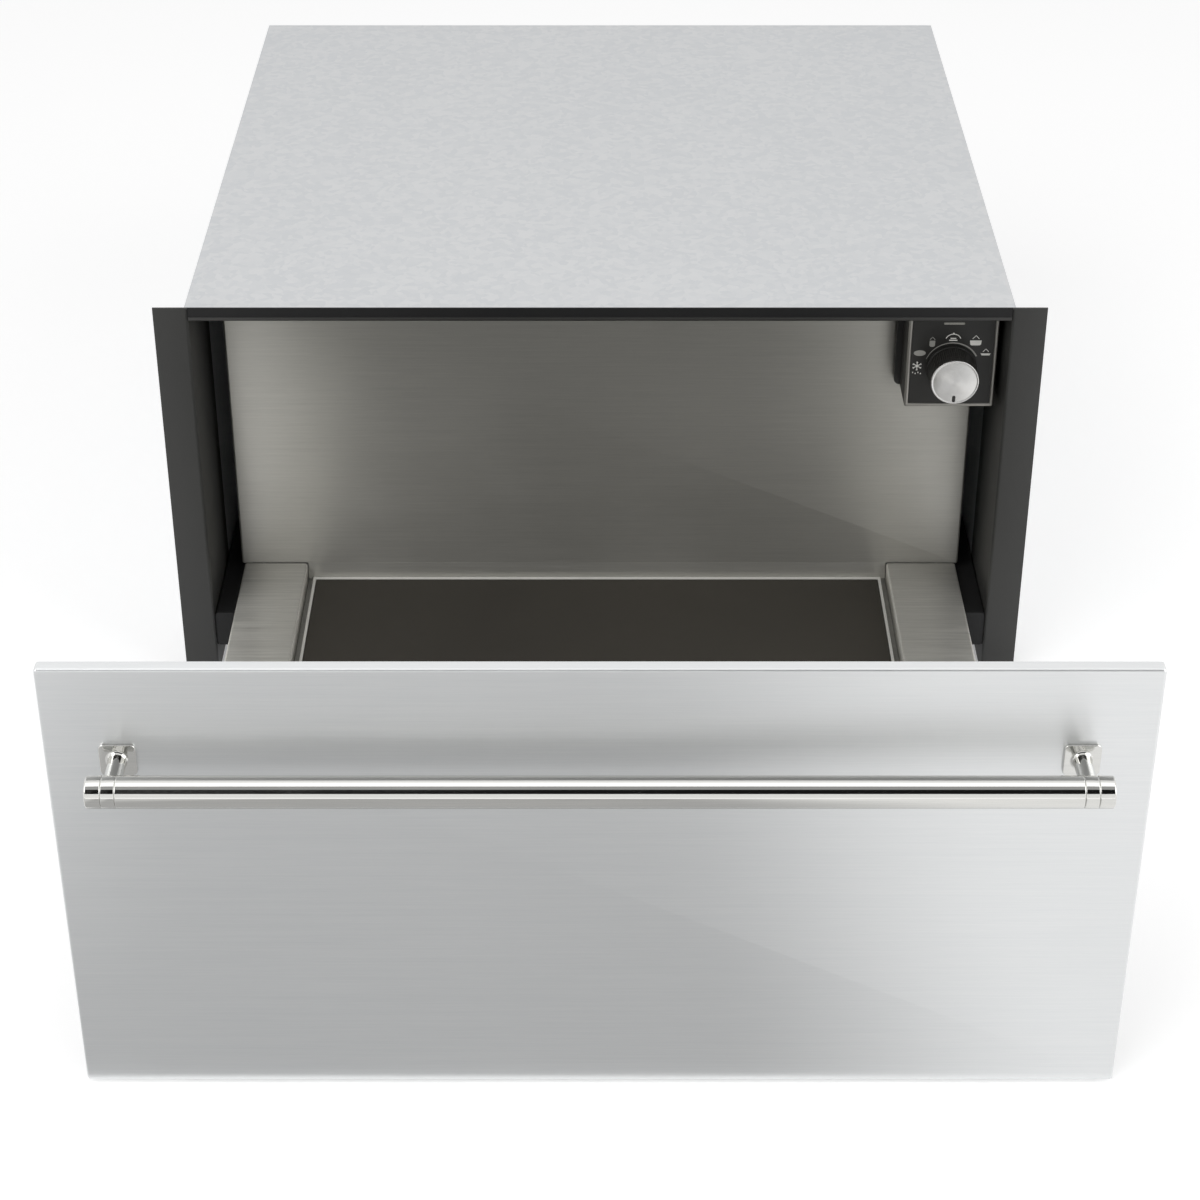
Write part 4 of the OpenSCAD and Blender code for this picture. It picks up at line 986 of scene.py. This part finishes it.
lamps = {
    "keyLamp": {"at": (-1.5, -2.0, 2.3), "to": (0, -0.3, 0.1), "size": (2.3, 2.3), "power": 33},
    "sideLamp": {"at": (2.2, -1.6, 1.6), "to": (0.1, -0.4, 0.15), "size": (1.7, 2.3), "power": 22},
}
for name, lamp in lamps.items():
    data = bpy.data.lights.new(name, "AREA")
    data.shape = "RECTANGLE"
    data.size, data.size_y = lamp["size"]
    data.energy = lamp["power"]
    thing = bpy.data.objects.new(name, data)
    thing.location = lamp["at"]
    aim = np.array(lamp["to"]) - np.array(lamp["at"])
    thing.rotation_euler = (math.atan2(math.hypot(aim[0], aim[1]), -aim[2]), 0,
                            math.atan2(aim[1], aim[0]) - math.pi / 2)
    bpy.context.scene.collection.objects.link(thing)


def gradedLight(tree, axis, stops):
    # light that changes along a sheet, by (place in metres, share of white) pairs
    along = addNode(tree, "ShaderNodeSeparateXYZ", {0: objectPlace(tree)}).outputs[axis]
    first, last = stops[0][0], stops[-1][0]
    ramp = tree.nodes.new("ShaderNodeValToRGB")
    ramp.color_ramp.interpolation = "EASE"
    marks = ramp.color_ramp.elements
    while len(marks) < len(stops):
        marks.new(0.5)
    for mark, (at, share) in zip(marks, stops):
        mark.position = (at - first) / (last - first)
        mark.color = (share, share, share, 1)
    tree.links.new(spread(tree, along, first, last), ramp.inputs[0])
    return ramp.outputs[0]


# studio cards that only glossy surfaces see: a dark one before the handle, a grey one above it, a bright
# strip overhead, and a sheet below it, grey on the left and white on the right; the angles are
# elevations seen from the handle
cards = {
    "darkCard": {"from": 23, "to": 53, "reach": 2.5, "half": 1.6, "level": 0.01},
    "greyCard": {"from": 53, "to": 76, "reach": 2.5, "half": 1.6, "level": 0.4},
    "brightStrip": {"from": 76, "to": 106, "reach": 2.5, "half": 1.6, "level": 1.5},
    "floorSheet": {"from": -11, "to": -97, "reach": 0.228, "half": 1.6, "level": 1.0,
                   "graded": ("X", [(-0.5, 0.75), (-0.34, 0.5), (0.06, 0.5), (0.3, 1.0)])},
}
handleAxis = np.array([0, *barAxis]) * mm
for name, card in cards.items():
    corners = []
    for degrees, turn in ((card["from"], -1), (card["from"], 1), (card["to"], 1), (card["to"], -1)):
        rise = math.radians(degrees)
        # a sheet below the handle lies flat, reach below it, and the others stand round it
        away = card["reach"] / abs(math.sin(rise)) if card["from"] < 0 else card["reach"]
        corners.append(handleAxis + (turn * card["half"], -away * math.cos(rise), away * math.sin(rise)))
    glow = bpy.data.materials.new(name)
    tree = clearedTree(glow)
    light = gradedLight(tree, *card["graded"]) if "graded" in card else white
    lift = addNode(tree, "ShaderNodeEmission", {"Color": light, "Strength": card["level"]})
    addNode(tree, "ShaderNodeOutputMaterial", {"Surface": lift.outputs[0]})
    thing = stageSheet(name, corners, glow)
    thing.visible_camera = False
    thing.visible_shadow = False
    thing.visible_diffuse = False
print("studio made")


# the camera looks down on the front's upper edge
eye = {"elevation": 33.5, "distance": 1.40, "pitch": 32.0, "frontWidth": 1136 / 1200}
edgePoint = np.array([0, frontLow[1] * mm, frontHigh[2] * mm])
rise, tilt = math.radians(eye["elevation"]), math.radians(eye["pitch"])
seat = edgePoint + eye["distance"] * np.array([0, -math.cos(rise), math.sin(rise)])
depth = eye["distance"] * math.cos(rise - tilt)
camera = bpy.data.cameras.new("photoCamera")
camera.sensor_width = 36
camera.lens = 36 * eye["frontWidth"] * depth / ((frontHigh[0] - frontLow[0]) * mm)
camera.clip_end = 60
photoCamera = bpy.data.objects.new("photoCamera", camera)
photoCamera.location = seat
photoCamera.rotation_euler = (math.pi / 2 - tilt, 0, 0)
bpy.context.scene.collection.objects.link(photoCamera)
bpy.context.scene.camera = photoCamera
bpy.context.scene.view_settings.view_transform = "Standard"
print("camera placed, lens", round(camera.lens, 1))
